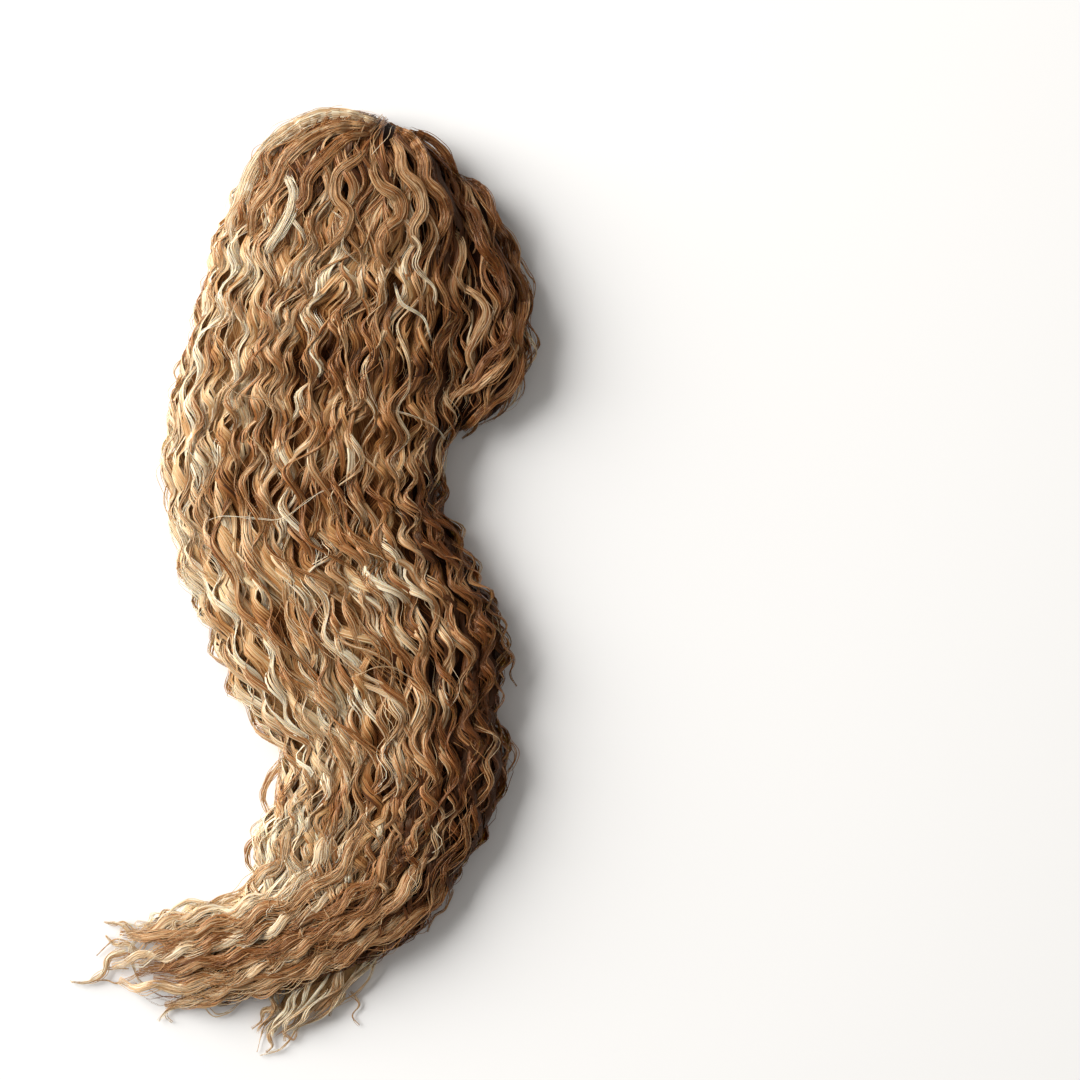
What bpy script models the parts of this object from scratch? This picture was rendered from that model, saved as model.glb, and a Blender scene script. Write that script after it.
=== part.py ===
"""Clip-in ponytail hairpiece, lying on its open side.

A shallow net cap with a comb inside it carries a long fall of waved hair. The fall is three
solids: the main fall, a shorter side fall beside its right edge, and a tuft below its end.
Each is a loft through cross-sections whose top is folded into waved locks, and loose locks
are tubes joined to it. +X is the wearer's side the fall swells towards, +Y points from the
tail to the crown, and the surface the piece lies on is z = 0.
"""
import math

import bmesh
import bpy
from mathutils import Vector

MM = 0.001

# Gap between pieces that touch, in millimetres. Folded walls lean, so they keep a little more.
CLEARANCE = 0.3
FOLDED_CLEARANCE = 0.5

# Net cap: a flat bound rim, a short upright band and a dome, in millimetres.
CAP_X = 34
CAP_Y = 240
CAP_RADIUS = 48
CAP_HEIGHT = 38
BAND_HEIGHT = 8
NET_WALL = 2
RIM_WIDTH = 5
RIM_HEIGHT = 3
CAP_STEPS = 36
DOME_STEPS = 6

# Comb: a flat bar that follows the band, with straight teeth towards the tail.
COMB_HALF_ANGLE = math.radians(34)
COMB_ARC_STEPS = 10
COMB_SPINE = 4.5
COMB_THICKNESS = 2.4
COMB_TEETH = 12
TOOTH_PITCH = 4
TOOTH_LENGTH = 21
TOOTH_WIDTH = 2
TOOTH_TIP = 0.9

# The wave of the hair. Its swings are smaller where a section is narrow or low.
WAVE_LENGTH = 33
WAVE_SIDEWAYS = 4.2
WAVE_SIDEWAYS_SHARE = 0.16
WAVE_UPWARDS = 0.8
WAVE_UPWARDS_SHARE = 0.03

# How far the wave's phase drifts over a section, along the fall and from lock to lock.
PHASE_DRIFT = 1.9
DRIFT_ACROSS = 2.3
DRIFT_ALONG = 0.011
LOCK_DRIFT = 0.35
LOCK_DRIFT_STEP = 2.4

# The folds between locks, and how much a lock swells and sinks along its length.
MAIN_LOCKS = 15
SIDE_LOCKS = 6
TUFT_LOCKS = 6
FOLD_DEPTH = 5.5
FOLD_DEPTH_SHARE = 0.14
SWELL = 0.3
SWELL_ALONG = 0.045
SWELL_STEP = 1.9

# Sections are this far apart, about five to a wave. A section is widest above the surface it
# lies on, because its rounding runs on past its middle by the undercut angle.
SECTION_SPACING = 6.9
SECTION_SAMPLES = 20
UNDERCUT = math.radians(22)
SECTION_BLUNTNESS = 0.8

# A loose lock's tube has this many points between two of its route's points.
LOCK_SAMPLES = 3

# The parting at the crown, where the net shows between the roots.
PARTING_X = 52
PARTING_Y = 281
PARTING_WIDTH = 4
PARTING_LENGTH = 17
PARTING_TURN = math.radians(-14)
PARTING_FLOOR = 16
PARTING_TOP = 80

# Cross-sections from the crown to the tail: left edge, right edge and height.
MAIN_SECTIONS = (
    # left_x, left_y, right_x, right_y, height
    (47, 300, 61, 292, 12),
    (28, 303, 68, 288, 30),
    (0, 297, 80, 279, 44),
    (-23, 280, 93, 265, 52),
    (-35, 257, 103, 249, 55),
    (-46, 236, 109, 230, 55),
    (-56, 212, 111, 208, 54),
    (-69, 161, 106, 163, 50),
    (-82, 110, 97, 117, 47),
    (-86, 72, 91, 82, 46),
    (-82, 33, 90, 50, 45),
    (-75, 6, 99, 30, 45),
    (-60, -24, 112, 4, 44),
    (-42, -67, 130, -36, 43),
    (-13, -107, 123, -84, 40),
    (-12, -131, 130, -109, 39),
    (-26, -160, 120, -149, 36),
    (-33, -196, 96, -188, 33),
    (-56, -206, 62, -229, 28),
    (-89, -213, -10, -259, 22),
    (-116, -226, -82, -271, 14),
    (-129, -238, -122, -256, 6),
)
SIDE_SECTIONS = (
    # left_x, left_y, right_x, right_y, height
    (78, 268, 92, 263, 16),
    (84, 250, 119, 249, 30),
    (86, 215, 130, 218, 37),
    (86, 187, 141, 192, 37),
    (85, 158, 146, 166, 36),
    (83, 130, 144, 136, 31),
    (84, 107, 128, 111, 24),
    (88, 90, 104, 96, 12),
)
TUFT_SECTIONS = (
    # left_x, left_y, right_x, right_y, height
    (4, -214, 70, -208, 12),
    (-10, -238, 56, -231, 16),
    (-15, -255, 42, -252, 16),
    (-21, -269, 24, -269, 13),
    (-25, -282, 3, -282, 10),
    (-27, -294, -15, -294, 6),
)

# Loose locks: route points on plan, then height at both ends and radius at both ends.
LOOSE_MAIN = (
    # route, height_start, height_end, radius_start, radius_end
    (((-112, -236), (-124, -240), (-128, -251), (-138, -256), (-149, -256)), 6, 3, 3.0, 1.0),
    (((-100, -228), (-108, -226), (-117, -219), (-127, -218)), 8, 3, 2.6, 1.0),
    (((-104, -240), (-112, -232), (-121, -232), (-127, -226)), 7, 3, 2.6, 0.9),
    (((-50, -222), (-57, -208), (-69, -203), (-81, -207), (-88, -216), (-86, -230)), 12, 8, 2.4, 1.8),
    (((-70, -262), (-78, -269), (-87, -274), (-93, -281)), 6, 3, 3.0, 1.0),
    (((-48, -262), (-60, -266), (-72, -271), (-80, -269)), 6, 3, 2.8, 1.2),
    (((2, -112), (-14, -116), (-25, -133), (-22, -146), (-16, -152)), 14, 12, 2.6, 2.2),
    (((-16, -158), (-33, -166), (-35, -178), (-27, -190)), 12, 10, 2.6, 2.2),
    (((-64, 146), (-77, 134), (-80, 122), (-76, 108)), 14, 12, 2.4, 2.2),
    (((118, -36), (126, -50), (121, -62), (124, -74)), 8, 5, 2.4, 1.2),
)
LOOSE_SIDE = (
    # route, height_start, height_end, radius_start, radius_end
    (((115, 236), (130, 226), (138, 212), (136, 198)), 16, 12, 2.4, 2.2),
    (((128, 202), (141, 194), (146, 180), (141, 168)), 12, 10, 2.6, 2.2),
    (((124, 118), (113, 107), (110, 99), (102, 93)), 8, 4, 3.0, 1.4),
)
LOOSE_TUFT = (
    # route, height_start, height_end, radius_start, radius_end
    (((-16, -280), (-22, -290), (-20, -297), (-24, -301)), 5, 3, 2.6, 0.8),
    (((0, -272), (-5, -282), (-11, -286), (-12, -294)), 6, 3, 2.6, 1.0),
    (((24, -258), (26, -266), (19, -272), (17, -278)), 7, 3, 2.8, 1.1),
    (((-13, -273), (-25, -274), (-27, -281), (-33, -286)), 5, 3, 2.4, 1.0),
)


def clear_scene():
    """Remove every object, so that the file holds the hairpiece alone."""
    for old in list(bpy.data.objects):
        bpy.data.objects.remove(old, do_unlink=True)


def new_collection(name):
    """Add a collection to the scene."""
    collection = bpy.data.collections.new(name)
    bpy.context.scene.collection.children.link(collection)
    return collection


def finish_material(name, rgb, roughness):
    """A plain non-metal material of one colour."""
    material = bpy.data.materials.new(name)
    material.use_nodes = True
    shader = material.node_tree.nodes["Principled BSDF"]
    shader.inputs["Base Color"].default_value = (*rgb, 1)
    shader.inputs["Roughness"].default_value = roughness
    shader.inputs["Metallic"].default_value = 0
    return material


def place(name, mesh, collection, material=None):
    """Link a mesh to a collection as a named object."""
    obj = bpy.data.objects.new(name, mesh)
    collection.objects.link(obj)
    if material:
        mesh.materials.append(material)
    return obj


def make_cutter(obj):
    """Hide a guide solid from renders and draw it as wire."""
    obj.hide_render = True
    obj.display_type = "WIRE"
    return obj


def as_mesh(obj, collection):
    """Replace a curve by the mesh it evaluates to, with its caps welded on."""
    depsgraph = bpy.context.evaluated_depsgraph_get()
    mesh = bpy.data.meshes.new_from_object(obj.evaluated_get(depsgraph))
    bm = bmesh.new()
    bm.from_mesh(mesh)
    bmesh.ops.remove_doubles(bm, verts=bm.verts, dist=0.00001)
    bm.to_mesh(mesh)
    bm.free()
    solid = place(obj.name + "_mesh", mesh, collection)
    solid.matrix_world = obj.matrix_world
    bpy.data.objects.remove(obj, do_unlink=True)
    return solid


def combine(obj, others, operation):
    """Join other solids to an object, or cut them out of it."""
    for other in others:
        modifier = obj.modifiers.new(operation.lower() + "_" + other.name, "BOOLEAN")
        modifier.operation = operation
        modifier.solver = "EXACT"
        modifier.object = other


def smooth_row(rows, position):
    """Value of every column of a table at a fractional row, on a Catmull-Rom curve."""
    index = min(int(position), len(rows) - 2)
    t = position - index
    before = rows[max(index - 1, 0)]
    start = rows[index]
    end = rows[index + 1]
    after = rows[min(index + 2, len(rows) - 1)]
    blended = []
    for p0, p1, p2, p3 in zip(before, start, end, after):
        slope_in = (p2 - p0) / 2
        slope_out = (p3 - p1) / 2
        drop = p2 - p1
        cubic = slope_in + slope_out - 2 * drop
        square = 3 * drop - 2 * slope_in - slope_out
        blended.append(p1 + t * (slope_in + t * (square + t * cubic)))
    return blended


def middle(row):
    """Middle of a section on plan."""
    return Vector(((row[0] + row[2]) / 2, (row[1] + row[3]) / 2))


def even_rows(sections):
    """Sections about evenly spaced along the fall, each with its distance from the crown."""
    samples = SECTION_SAMPLES * (len(sections) - 1)
    fine = [smooth_row(sections, k / SECTION_SAMPLES) for k in range(samples + 1)]
    distances = [0.0]
    for previous, row in zip(fine, fine[1:]):
        distances.append(distances[-1] + (middle(row) - middle(previous)).length)
    count = round(distances[-1] / SECTION_SPACING)
    rows = []
    k = 0
    for step in range(count + 1):
        target = distances[-1] * step / count
        while k < len(fine) - 2 and distances[k + 1] < target:
            k += 1
        span = distances[k + 1] - distances[k]
        t = (target - distances[k]) / span
        rows.append(([a + (b - a) * t for a, b in zip(fine[k], fine[k + 1])], target))
    return rows


def blunt(value):
    """A signed power that squares off the section's rounding."""
    return math.copysign(abs(value) ** SECTION_BLUNTNESS, value)


def section_ring(row, distance, locks, grow):
    """One closed ring of the fall: up the left edge, over the folded top, down the right.

    The top has a ridge and a valley for each lock. A lock swings sideways with the wave and
    lifts a quarter turn later. Neighbours nearly keep step, and each lock swells and sinks
    along its own length.
    """
    left = Vector((row[0], row[1]))
    right = Vector((row[2], row[3]))
    across = (right - left).normalized()
    half = (right - left).length / 2 + grow
    height = row[4] + grow
    centre = (left + right) / 2
    fold = min(FOLD_DEPTH, FOLD_DEPTH_SHARE * height)
    sideways = min(WAVE_SIDEWAYS, WAVE_SIDEWAYS_SHARE * half)
    lift = min(WAVE_UPWARDS, WAVE_UPWARDS_SHARE * height)
    foot = blunt(math.sin(UNDERCUT))
    ring = []
    for k in range(2 * locks + 1):
        angle = -UNDERCUT + (math.pi + 2 * UNDERCUT) * k / (2 * locks)
        u = -blunt(math.cos(angle))
        v = (blunt(math.sin(angle)) + foot) / (1 + foot)
        lock = k // 2
        drift = math.sin(DRIFT_ACROSS * u + DRIFT_ALONG * distance)
        drift += LOCK_DRIFT * math.sin(LOCK_DRIFT_STEP * lock)
        phase = 2 * math.pi * distance / WAVE_LENGTH + PHASE_DRIFT * drift
        swell = 1 - SWELL + SWELL * math.sin(SWELL_ALONG * distance + SWELL_STEP * lock)
        on_floor = k in (0, 2 * locks)
        fold_side = 0 if on_floor else 0.5 if k % 2 else -0.5
        out = fold * swell * fold_side
        point = centre + across * (u * (half + out) + sideways * math.sin(phase))
        z = v * (height + out + lift * math.cos(phase))
        ring.append((point.x * MM, point.y * MM, (-grow if on_floor else z) * MM))
    return ring


def fall_mesh(name, sections, locks, grow=0.0):
    """Loft a fall of hair through its sections and close both ends."""
    bm = bmesh.new()
    rings = []
    for row, distance in even_rows(sections):
        rings.append([bm.verts.new(p) for p in section_ring(row, distance, locks, grow)])
    for upper, lower in zip(rings, rings[1:]):
        for k in range(len(upper)):
            n = (k + 1) % len(upper)
            bm.faces.new((upper[k], upper[n], lower[n]))
            bm.faces.new((upper[k], lower[n], lower[k]))
    bm.faces.new(rings[0])
    bm.faces.new(rings[-1])
    bmesh.ops.recalc_face_normals(bm, faces=bm.faces)
    mesh = bpy.data.meshes.new(name)
    bm.to_mesh(mesh)
    bm.free()
    mesh.shade_smooth()
    return mesh


def loose_lock(name, lock, collection):
    """A tapering tube along a smooth curve through a loose lock's route."""
    route, height_start, height_end, radius_start, radius_end = lock
    points = LOCK_SAMPLES * (len(route) - 1) + 1
    curve = bpy.data.curves.new(name, "CURVE")
    curve.dimensions = "3D"
    curve.bevel_depth = MM
    curve.bevel_resolution = 1
    curve.use_fill_caps = True
    spline = curve.splines.new("POLY")
    spline.points.add(points - 1)
    for k in range(points):
        t = k / (points - 1)
        x, y = smooth_row(route, t * (len(route) - 1))
        z = height_start + (height_end - height_start) * t
        spline.points[k].co = (x * MM, y * MM, z * MM, 1)
        spline.points[k].radius = radius_start + (radius_end - radius_start) * t
    tube = bpy.data.objects.new(name, curve)
    collection.objects.link(tube)
    return make_cutter(as_mesh(tube, collection))


def turned(name, profile, collection):
    """Turn a closed or axis-to-axis profile of (radius, height) points about the cap's axis."""
    mesh = bpy.data.meshes.new(name)
    points = [(r * MM, 0, z * MM) for r, z in profile]
    edges = [(k, k + 1) for k in range(len(points) - 1)]
    mesh.from_pydata(points, edges, [])
    obj = place(name, mesh, collection)
    obj.location = (CAP_X * MM, CAP_Y * MM, 0)
    screw = obj.modifiers.new("turn", "SCREW")
    screw.angle = 2 * math.pi
    screw.steps = CAP_STEPS
    screw.render_steps = CAP_STEPS
    screw.use_merge_vertices = True
    screw.merge_threshold = 0.00001
    return obj


def dome(radius, height, base):
    """Quarter ellipse from the apex down to the top of the band."""
    steps = [math.pi / 2 * k / DOME_STEPS for k in range(DOME_STEPS + 1)]
    return [(radius * math.sin(a), base + (height - base) * math.cos(a)) for a in steps]


def make_base_net(collection):
    """Dome, band and bound rim of the net cap, as one turned wall with a flat underside."""
    outside = dome(CAP_RADIUS, CAP_HEIGHT, BAND_HEIGHT)
    inside = dome(CAP_RADIUS - NET_WALL, CAP_HEIGHT - NET_WALL, BAND_HEIGHT)
    rim = (
        (CAP_RADIUS, 0),
        (CAP_RADIUS - RIM_WIDTH, 0),
        (CAP_RADIUS - RIM_WIDTH, RIM_HEIGHT),
        (CAP_RADIUS - NET_WALL, RIM_HEIGHT),
    )
    net = turned("base_net", (*outside, *rim, *reversed(inside)), collection)
    net.data.materials.append(finish_material("dark_stretch_net", (0.018, 0.012, 0.009), 0.8))
    return net


def make_cap_space(guides):
    """Guide solid of the room that the cap takes under the hair."""
    radius = CAP_RADIUS + CLEARANCE
    below = -CLEARANCE
    outside = dome(radius, CAP_HEIGHT + CLEARANCE, BAND_HEIGHT)
    return make_cutter(turned("cap_space", (*outside, (radius, below), (0, below)), guides))


def make_comb(collection):
    """Flat comb: the outline of the curved spine and its teeth, extruded."""
    outer = CAP_RADIUS - NET_WALL - CLEARANCE
    inner = outer - COMB_SPINE
    outline = []
    for k in range(COMB_ARC_STEPS + 1):
        a = COMB_HALF_ANGLE * (1 - 2 * k / COMB_ARC_STEPS)
        outline.append((outer * math.sin(a), outer * math.cos(a)))
    for tooth in range(COMB_TEETH):
        x = TOOTH_PITCH * (tooth - (COMB_TEETH - 1) / 2)
        for dx, at_root in ((-TOOTH_WIDTH, 1), (-TOOTH_TIP, 0), (TOOTH_TIP, 0), (TOOTH_WIDTH, 1)):
            edge = x + dx / 2
            root = math.sqrt(inner ** 2 - edge ** 2)
            outline.append((edge, root if at_root else root - TOOTH_LENGTH))
    curve = bpy.data.curves.new("comb", "CURVE")
    curve.dimensions = "2D"
    curve.fill_mode = "BOTH"
    curve.extrude = COMB_THICKNESS / 2 * MM
    spline = curve.splines.new("POLY")
    spline.points.add(len(outline) - 1)
    for point, (x, y) in zip(spline.points, outline):
        point.co = (x * MM, y * MM, 0, 1)
    spline.use_cyclic_u = True
    comb = bpy.data.objects.new("comb", curve)
    height = RIM_HEIGHT + CLEARANCE + COMB_THICKNESS / 2
    comb.location = (CAP_X * MM, CAP_Y * MM, height * MM)
    curve.materials.append(finish_material("dark_moulded_plastic", (0.03, 0.02, 0.015), 0.4))
    collection.objects.link(comb)
    return comb


def make_parting(guides):
    """Guide solid of the slot between the roots, down to the net."""
    bpy.ops.mesh.primitive_cube_add(size=1)
    slot = bpy.context.active_object
    slot.name = "parting"
    slot.scale = (PARTING_WIDTH * MM, PARTING_LENGTH * MM, (PARTING_TOP - PARTING_FLOOR) * MM)
    slot.rotation_euler = (0, 0, PARTING_TURN)
    slot.location = (PARTING_X * MM, PARTING_Y * MM, (PARTING_TOP + PARTING_FLOOR) / 2 * MM)
    for owner in list(slot.users_collection):
        owner.objects.unlink(slot)
    guides.objects.link(slot)
    return make_cutter(slot)


def make_hair(parts, guides):
    """The three falls, each cut clear of what it lies on and joined to its loose locks."""
    hair = finish_material("copper_blonde_hair", (0.42, 0.20, 0.085), 0.45)
    main = place("main_fall", fall_mesh("main_fall", MAIN_SECTIONS, MAIN_LOCKS), parts, hair)
    side = place("side_fall", fall_mesh("side_fall", SIDE_SECTIONS, SIDE_LOCKS), parts, hair)
    tuft = place("lower_tuft", fall_mesh("lower_tuft", TUFT_SECTIONS, TUFT_LOCKS), parts, hair)
    room_mesh = fall_mesh("main_room", MAIN_SECTIONS, MAIN_LOCKS, grow=FOLDED_CLEARANCE)
    room = make_cutter(place("main_room", room_mesh, guides))
    combine(main, (make_cap_space(guides), make_parting(guides)), "DIFFERENCE")
    combine(side, (room,), "DIFFERENCE")
    combine(tuft, (room,), "DIFFERENCE")
    for fall, locks in ((main, LOOSE_MAIN), (side, LOOSE_SIDE), (tuft, LOOSE_TUFT)):
        tubes = [loose_lock(f"{fall.name}_lock_{k}", lock, guides) for k, lock in enumerate(locks)]
        combine(fall, tubes, "UNION")


def main():
    """Build the hairpiece."""
    clear_scene()
    parts = new_collection("ponytail_hairpiece")
    guides = new_collection("guides")
    make_base_net(parts)
    make_comb(parts)
    make_hair(parts, guides)


main()
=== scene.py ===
"""Looks of a clip-in ponytail hairpiece: waved hair on a net cap, lying on a pale floor.

Lengths are in millimetres until a mesh is written. A fall of hair is a form with two
parameters: the distance s from the crown, and the share a of the way over it from its left
foot to its right foot. Every lock follows a line of one share down the form, swung sideways
and lifted by the wave. A lock is a few thin strips with loose strands between and over them.
"""

import bpy
import numpy as np
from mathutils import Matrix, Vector


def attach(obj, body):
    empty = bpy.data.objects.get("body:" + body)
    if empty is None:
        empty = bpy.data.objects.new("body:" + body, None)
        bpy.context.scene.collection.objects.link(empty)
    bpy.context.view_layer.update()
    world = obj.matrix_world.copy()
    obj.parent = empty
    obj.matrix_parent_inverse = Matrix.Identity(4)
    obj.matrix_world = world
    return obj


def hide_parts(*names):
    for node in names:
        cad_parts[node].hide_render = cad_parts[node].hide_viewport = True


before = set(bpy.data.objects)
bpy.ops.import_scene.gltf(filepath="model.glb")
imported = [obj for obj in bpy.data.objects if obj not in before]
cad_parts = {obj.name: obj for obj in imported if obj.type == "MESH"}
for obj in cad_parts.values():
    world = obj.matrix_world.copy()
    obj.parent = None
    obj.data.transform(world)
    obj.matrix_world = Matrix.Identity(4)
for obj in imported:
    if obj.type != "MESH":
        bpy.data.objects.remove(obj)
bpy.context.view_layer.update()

MM = 0.001
TURN = 2 * np.pi

# The photograph's frame: its side in pixels, a pixel's size on the hair, and the pixel that
# lies over the origin. The scale holds half-way up the hair.
PHOTO_SIDE = 1080
PIXEL = 0.635
ORIGIN_PIXEL = (300.5, 584)
HALF_WAY_UP = 30
CAMERA_HEIGHT = 2400
SENSOR_WIDTH = 36

# The outer form, as in the part's source. Its folds are shallower here, because the locks
# that are laid over the form make them.
WAVE_LENGTH = 33
UNDERCUT = np.radians(22)
BLUNTNESS = 0.8
PHASE_DRIFT = 1.9
DRIFT_ACROSS = 2.3
DRIFT_ALONG = 0.011
FOLD_DEPTH = 2.2
FOLD_DEPTH_SHARE = 0.06

# Slow drifts of the wave's phase over and along a fall, in radians.
WAVE_DRIFTS = (
    # size, turn_across, turn_along, start
    (1.7, 8.5, -0.017, 2),
    (0.8, 17, 0.031, 0),
    (0.4, 29, -0.043, 1),
)

# Near the crown the waves are longer.
CROWN_PULL = 20
CROWN_REACH = 90

# The locks swing wider in the tail, where they are loose.
TAIL_SWING = 0.2

# The wave keeps this share of its true length where the fall bends, read from a grid.
TRUE_PACE = 0.5
PACE_ROWS = 120
PACE_COLUMNS = 25

# Soft patches of lighter and darker hair: each is a product of two slow sines.
PATCH_TONE = 0.13
TONE_PATCHES = (
    # along_a, across_a, start_a, along_b, across_b, start_b
    (0.043, 5, 1, -0.021, 9, 0),
    (0.105, 11, 0, -0.05, 16, 2),
)

# How much of the change of tone, with its painted light and shade, the inner bodies take,
# and their tone before it.
CORE_TONE_AND_SHADE_WEIGHT = 2.2
CORE_TONE = 0.4

# Locks have their full size where a fall is this wide, and stray and swing freely past this
# distance from the crown.
FULL_SPAN = 130
ROOT_REACH = 60

# Depth to which a lock dives under its neighbours at its ends, at its root in the crown, and
# the lengths over which it does so.
LOCK_DIVE = 6.0
ROOT_DIVE = 1.0
DIVE_IN_LENGTH = 26
DIVE_OUT_LENGTH = 30

# Each value of a lock, a strip or a strand that wanders: the row of its own chances that it
# reads, and the length over which it wanders.
LOCK_WANDER = {"stray": (0, 130), "depth": (1, 85), "phase": (2, 110), "swing": (3, 62), "fan": (4, 70)}
STRIP_WANDER = {"shift": (0, 44), "rise": (1, 52), "width": (2, 38), "tone": (3, 95)}
STRAND_WANDER = {"shift": (0, 50), "rise": (1, 40), "kink": (2, 17), "tone": (3, 80)}

# Corners of a strip, strand or cord, the topmost first. The foot of a ring stays over the
# floor by the least height, and its top by twice the least section more.
CORNERS = 3
LEAST_HEIGHT = 0.15
LEAST_SECTION = 0.2

# More tubes than these are laid in four or two columns of the bake map.
MANY_TUBES = 400
SOME_TUBES = 120

# Width of a strip over its even share of the lock's width, and the lean of the outermost
# strips of a lock, which gives the lock its round back.
STRIP_LAP = 1.2
LOCK_ROUNDING = 0.6

# Height of a strand over its width.
STRAND_HEIGHT = 0.55

# Small bare place in the parting, as a share of the way over the main fall and a distance
# from the crown, and the share and the length over which the inner body darkens there, as
# painted shade of the parting with the dark net under it.
PARTING_SHARE = 0.595
PARTING_HALF_SHARE = 0.04
PARTING_END = 24
PARTING_DARK_SHARE = 0.05
PARTING_DARK_LENGTH = 15

# The net cap, as in the part's source, the room that the hair leaves around it, and the
# cords of its net, which wind down from the top both ways. Their middle is a little off the
# wall's inner side.
CAP_X = 34
CAP_Y = 240
CAP_RADIUS = 48
CAP_HEIGHT = 38
BAND_HEIGHT = 8
NET_WALL = 2
CAP_ROOM = 1.2
CORDS_EACH_WAY = 30
CORD_TWIST = 1.3
CORD_RADIUS = 0.45
CORD_STEPS = 26
CORD_OFF_WALL = 0.2

# Share of a laid lock's route over which it rises at each end, and the depth of both ends.
LAID_END_SHARE = 0.16
LAID_END_DEPTH = 3

# Fine strands over each laid lock, their radius, and the radius of a loose strand at its
# widest.
LAID_STRANDS = 8
LAID_STRAND_RADIUS = 0.26
LOOSE_STRAND_RADIUS = 0.27

# Streaks are drawn out along the fibre: the scale of their noise there, where it is 1 across.
STREAK_DRAW = 0.012

# How much lighter each fall is as a whole, at its left flank and at its tail, and how much
# darker at its right flank, its lower right and its crown. The lighter left flank is painted
# light, and the darker right flank and lower right are painted shade, as the window light
# comes from the left. The side fall is darker as a whole and at its left flank as painted
# shade, where the main fall shades it.
MAIN_TONE_AND_SHADE = {"all": 0.0, "left": 0.26, "tail": 0.06, "right": 0.4, "low_right": 0.58, "crown": 0.4}
SIDE_TONE_AND_SHADE = {"all": -0.26, "left": -0.1, "tail": 0.0, "right": 0.1, "low_right": 0.0, "crown": 0.1}
TUFT_TONE_AND_SHADE = {"all": 0.34, "left": 0.0, "tail": 0.0, "right": 0.1, "low_right": 0.0, "crown": 0.0}

# Cross-sections of the three falls from the crown to the tail, as in the part's source.
MAIN_SECTIONS = (
    # left_x, left_y, right_x, right_y, height
    (47, 300, 61, 292, 12),
    (28, 303, 68, 288, 30),
    (0, 297, 80, 279, 44),
    (-23, 280, 93, 265, 52),
    (-35, 257, 103, 249, 55),
    (-46, 236, 109, 230, 55),
    (-56, 212, 111, 208, 54),
    (-69, 161, 106, 163, 50),
    (-82, 110, 97, 117, 47),
    (-86, 72, 91, 82, 46),
    (-82, 33, 90, 50, 45),
    (-75, 6, 99, 30, 45),
    (-60, -24, 112, 4, 44),
    (-42, -67, 130, -36, 43),
    (-13, -107, 123, -84, 40),
    (-12, -131, 130, -109, 39),
    (-26, -160, 120, -149, 36),
    (-33, -196, 96, -188, 33),
    (-56, -206, 62, -229, 28),
    (-89, -213, -10, -259, 22),
    (-116, -226, -82, -271, 14),
    (-129, -238, -122, -256, 6),
)
SIDE_SECTIONS = (
    # left_x, left_y, right_x, right_y, height
    (78, 268, 92, 263, 16),
    (84, 250, 119, 249, 30),
    (86, 215, 130, 218, 37),
    (86, 187, 141, 192, 37),
    (85, 158, 146, 166, 36),
    (83, 130, 144, 136, 31),
    (84, 107, 128, 111, 24),
    (88, 90, 104, 96, 12),
)
TUFT_SECTIONS = (
    # left_x, left_y, right_x, right_y, height
    (4, -214, 70, -208, 12),
    (-10, -238, 56, -231, 16),
    (-15, -255, 42, -252, 16),
    (-21, -269, 24, -269, 13),
    (-25, -282, 3, -282, 10),
    (-27, -294, -15, -294, 6),
)

# Loose locks that leave the falls, most of them as in the part's source. Those at the right
# flank have low tones, as painted shade.
LOOSE_LOCKS = (
    # route, height_start, height_end, radius_start, radius_end, tone
    (((-112, -236), (-124, -240), (-128, -251), (-138, -256), (-149, -256)), 6, 3, 3.0, 1.0, 0.72),
    (((-100, -228), (-108, -226), (-117, -219), (-127, -218)), 8, 3, 2.6, 1.0, 0.7),
    (((-104, -240), (-112, -232), (-121, -232), (-127, -226)), 7, 3, 2.6, 0.9, 0.8),
    (((-50, -222), (-57, -208), (-69, -203), (-81, -207), (-88, -216), (-86, -230)), 16, 11, 2.8, 2.0, 0.85),
    (((-70, -262), (-78, -269), (-87, -274), (-93, -281)), 6, 3, 3.0, 1.0, 0.7),
    (((-48, -262), (-60, -266), (-72, -271), (-80, -269)), 6, 3, 2.8, 1.2, 0.55),
    (((2, -112), (-14, -116), (-25, -133), (-22, -146), (-16, -152)), 14, 12, 2.6, 2.2, 0.5),
    (((-16, -158), (-33, -166), (-35, -178), (-27, -190)), 12, 10, 2.6, 2.2, 0.4),
    (((-64, 146), (-77, 134), (-80, 122), (-76, 108)), 14, 12, 2.4, 2.2, 0.4),
    (((118, -36), (126, -50), (121, -62), (124, -74)), 8, 5, 2.4, 1.2, 0.3),
    (((115, 236), (130, 226), (138, 212), (136, 198)), 16, 12, 2.4, 2.2, 0.2),
    (((128, 202), (141, 194), (146, 180), (141, 168)), 12, 10, 2.6, 2.2, 0.2),
    (((124, 118), (113, 107), (110, 99), (102, 93)), 8, 4, 3.0, 1.4, 0.25),
    (((-16, -280), (-22, -290), (-20, -297), (-24, -301)), 5, 3, 2.6, 0.8, 0.6),
    (((0, -272), (-5, -282), (-11, -286), (-12, -294)), 6, 3, 2.6, 1.0, 0.6),
    (((24, -258), (26, -266), (19, -272), (17, -278)), 7, 3, 2.8, 1.1, 0.5),
    (((-13, -273), (-25, -274), (-27, -281), (-33, -286)), 5, 3, 2.4, 1.0, 0.6),
)
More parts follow.
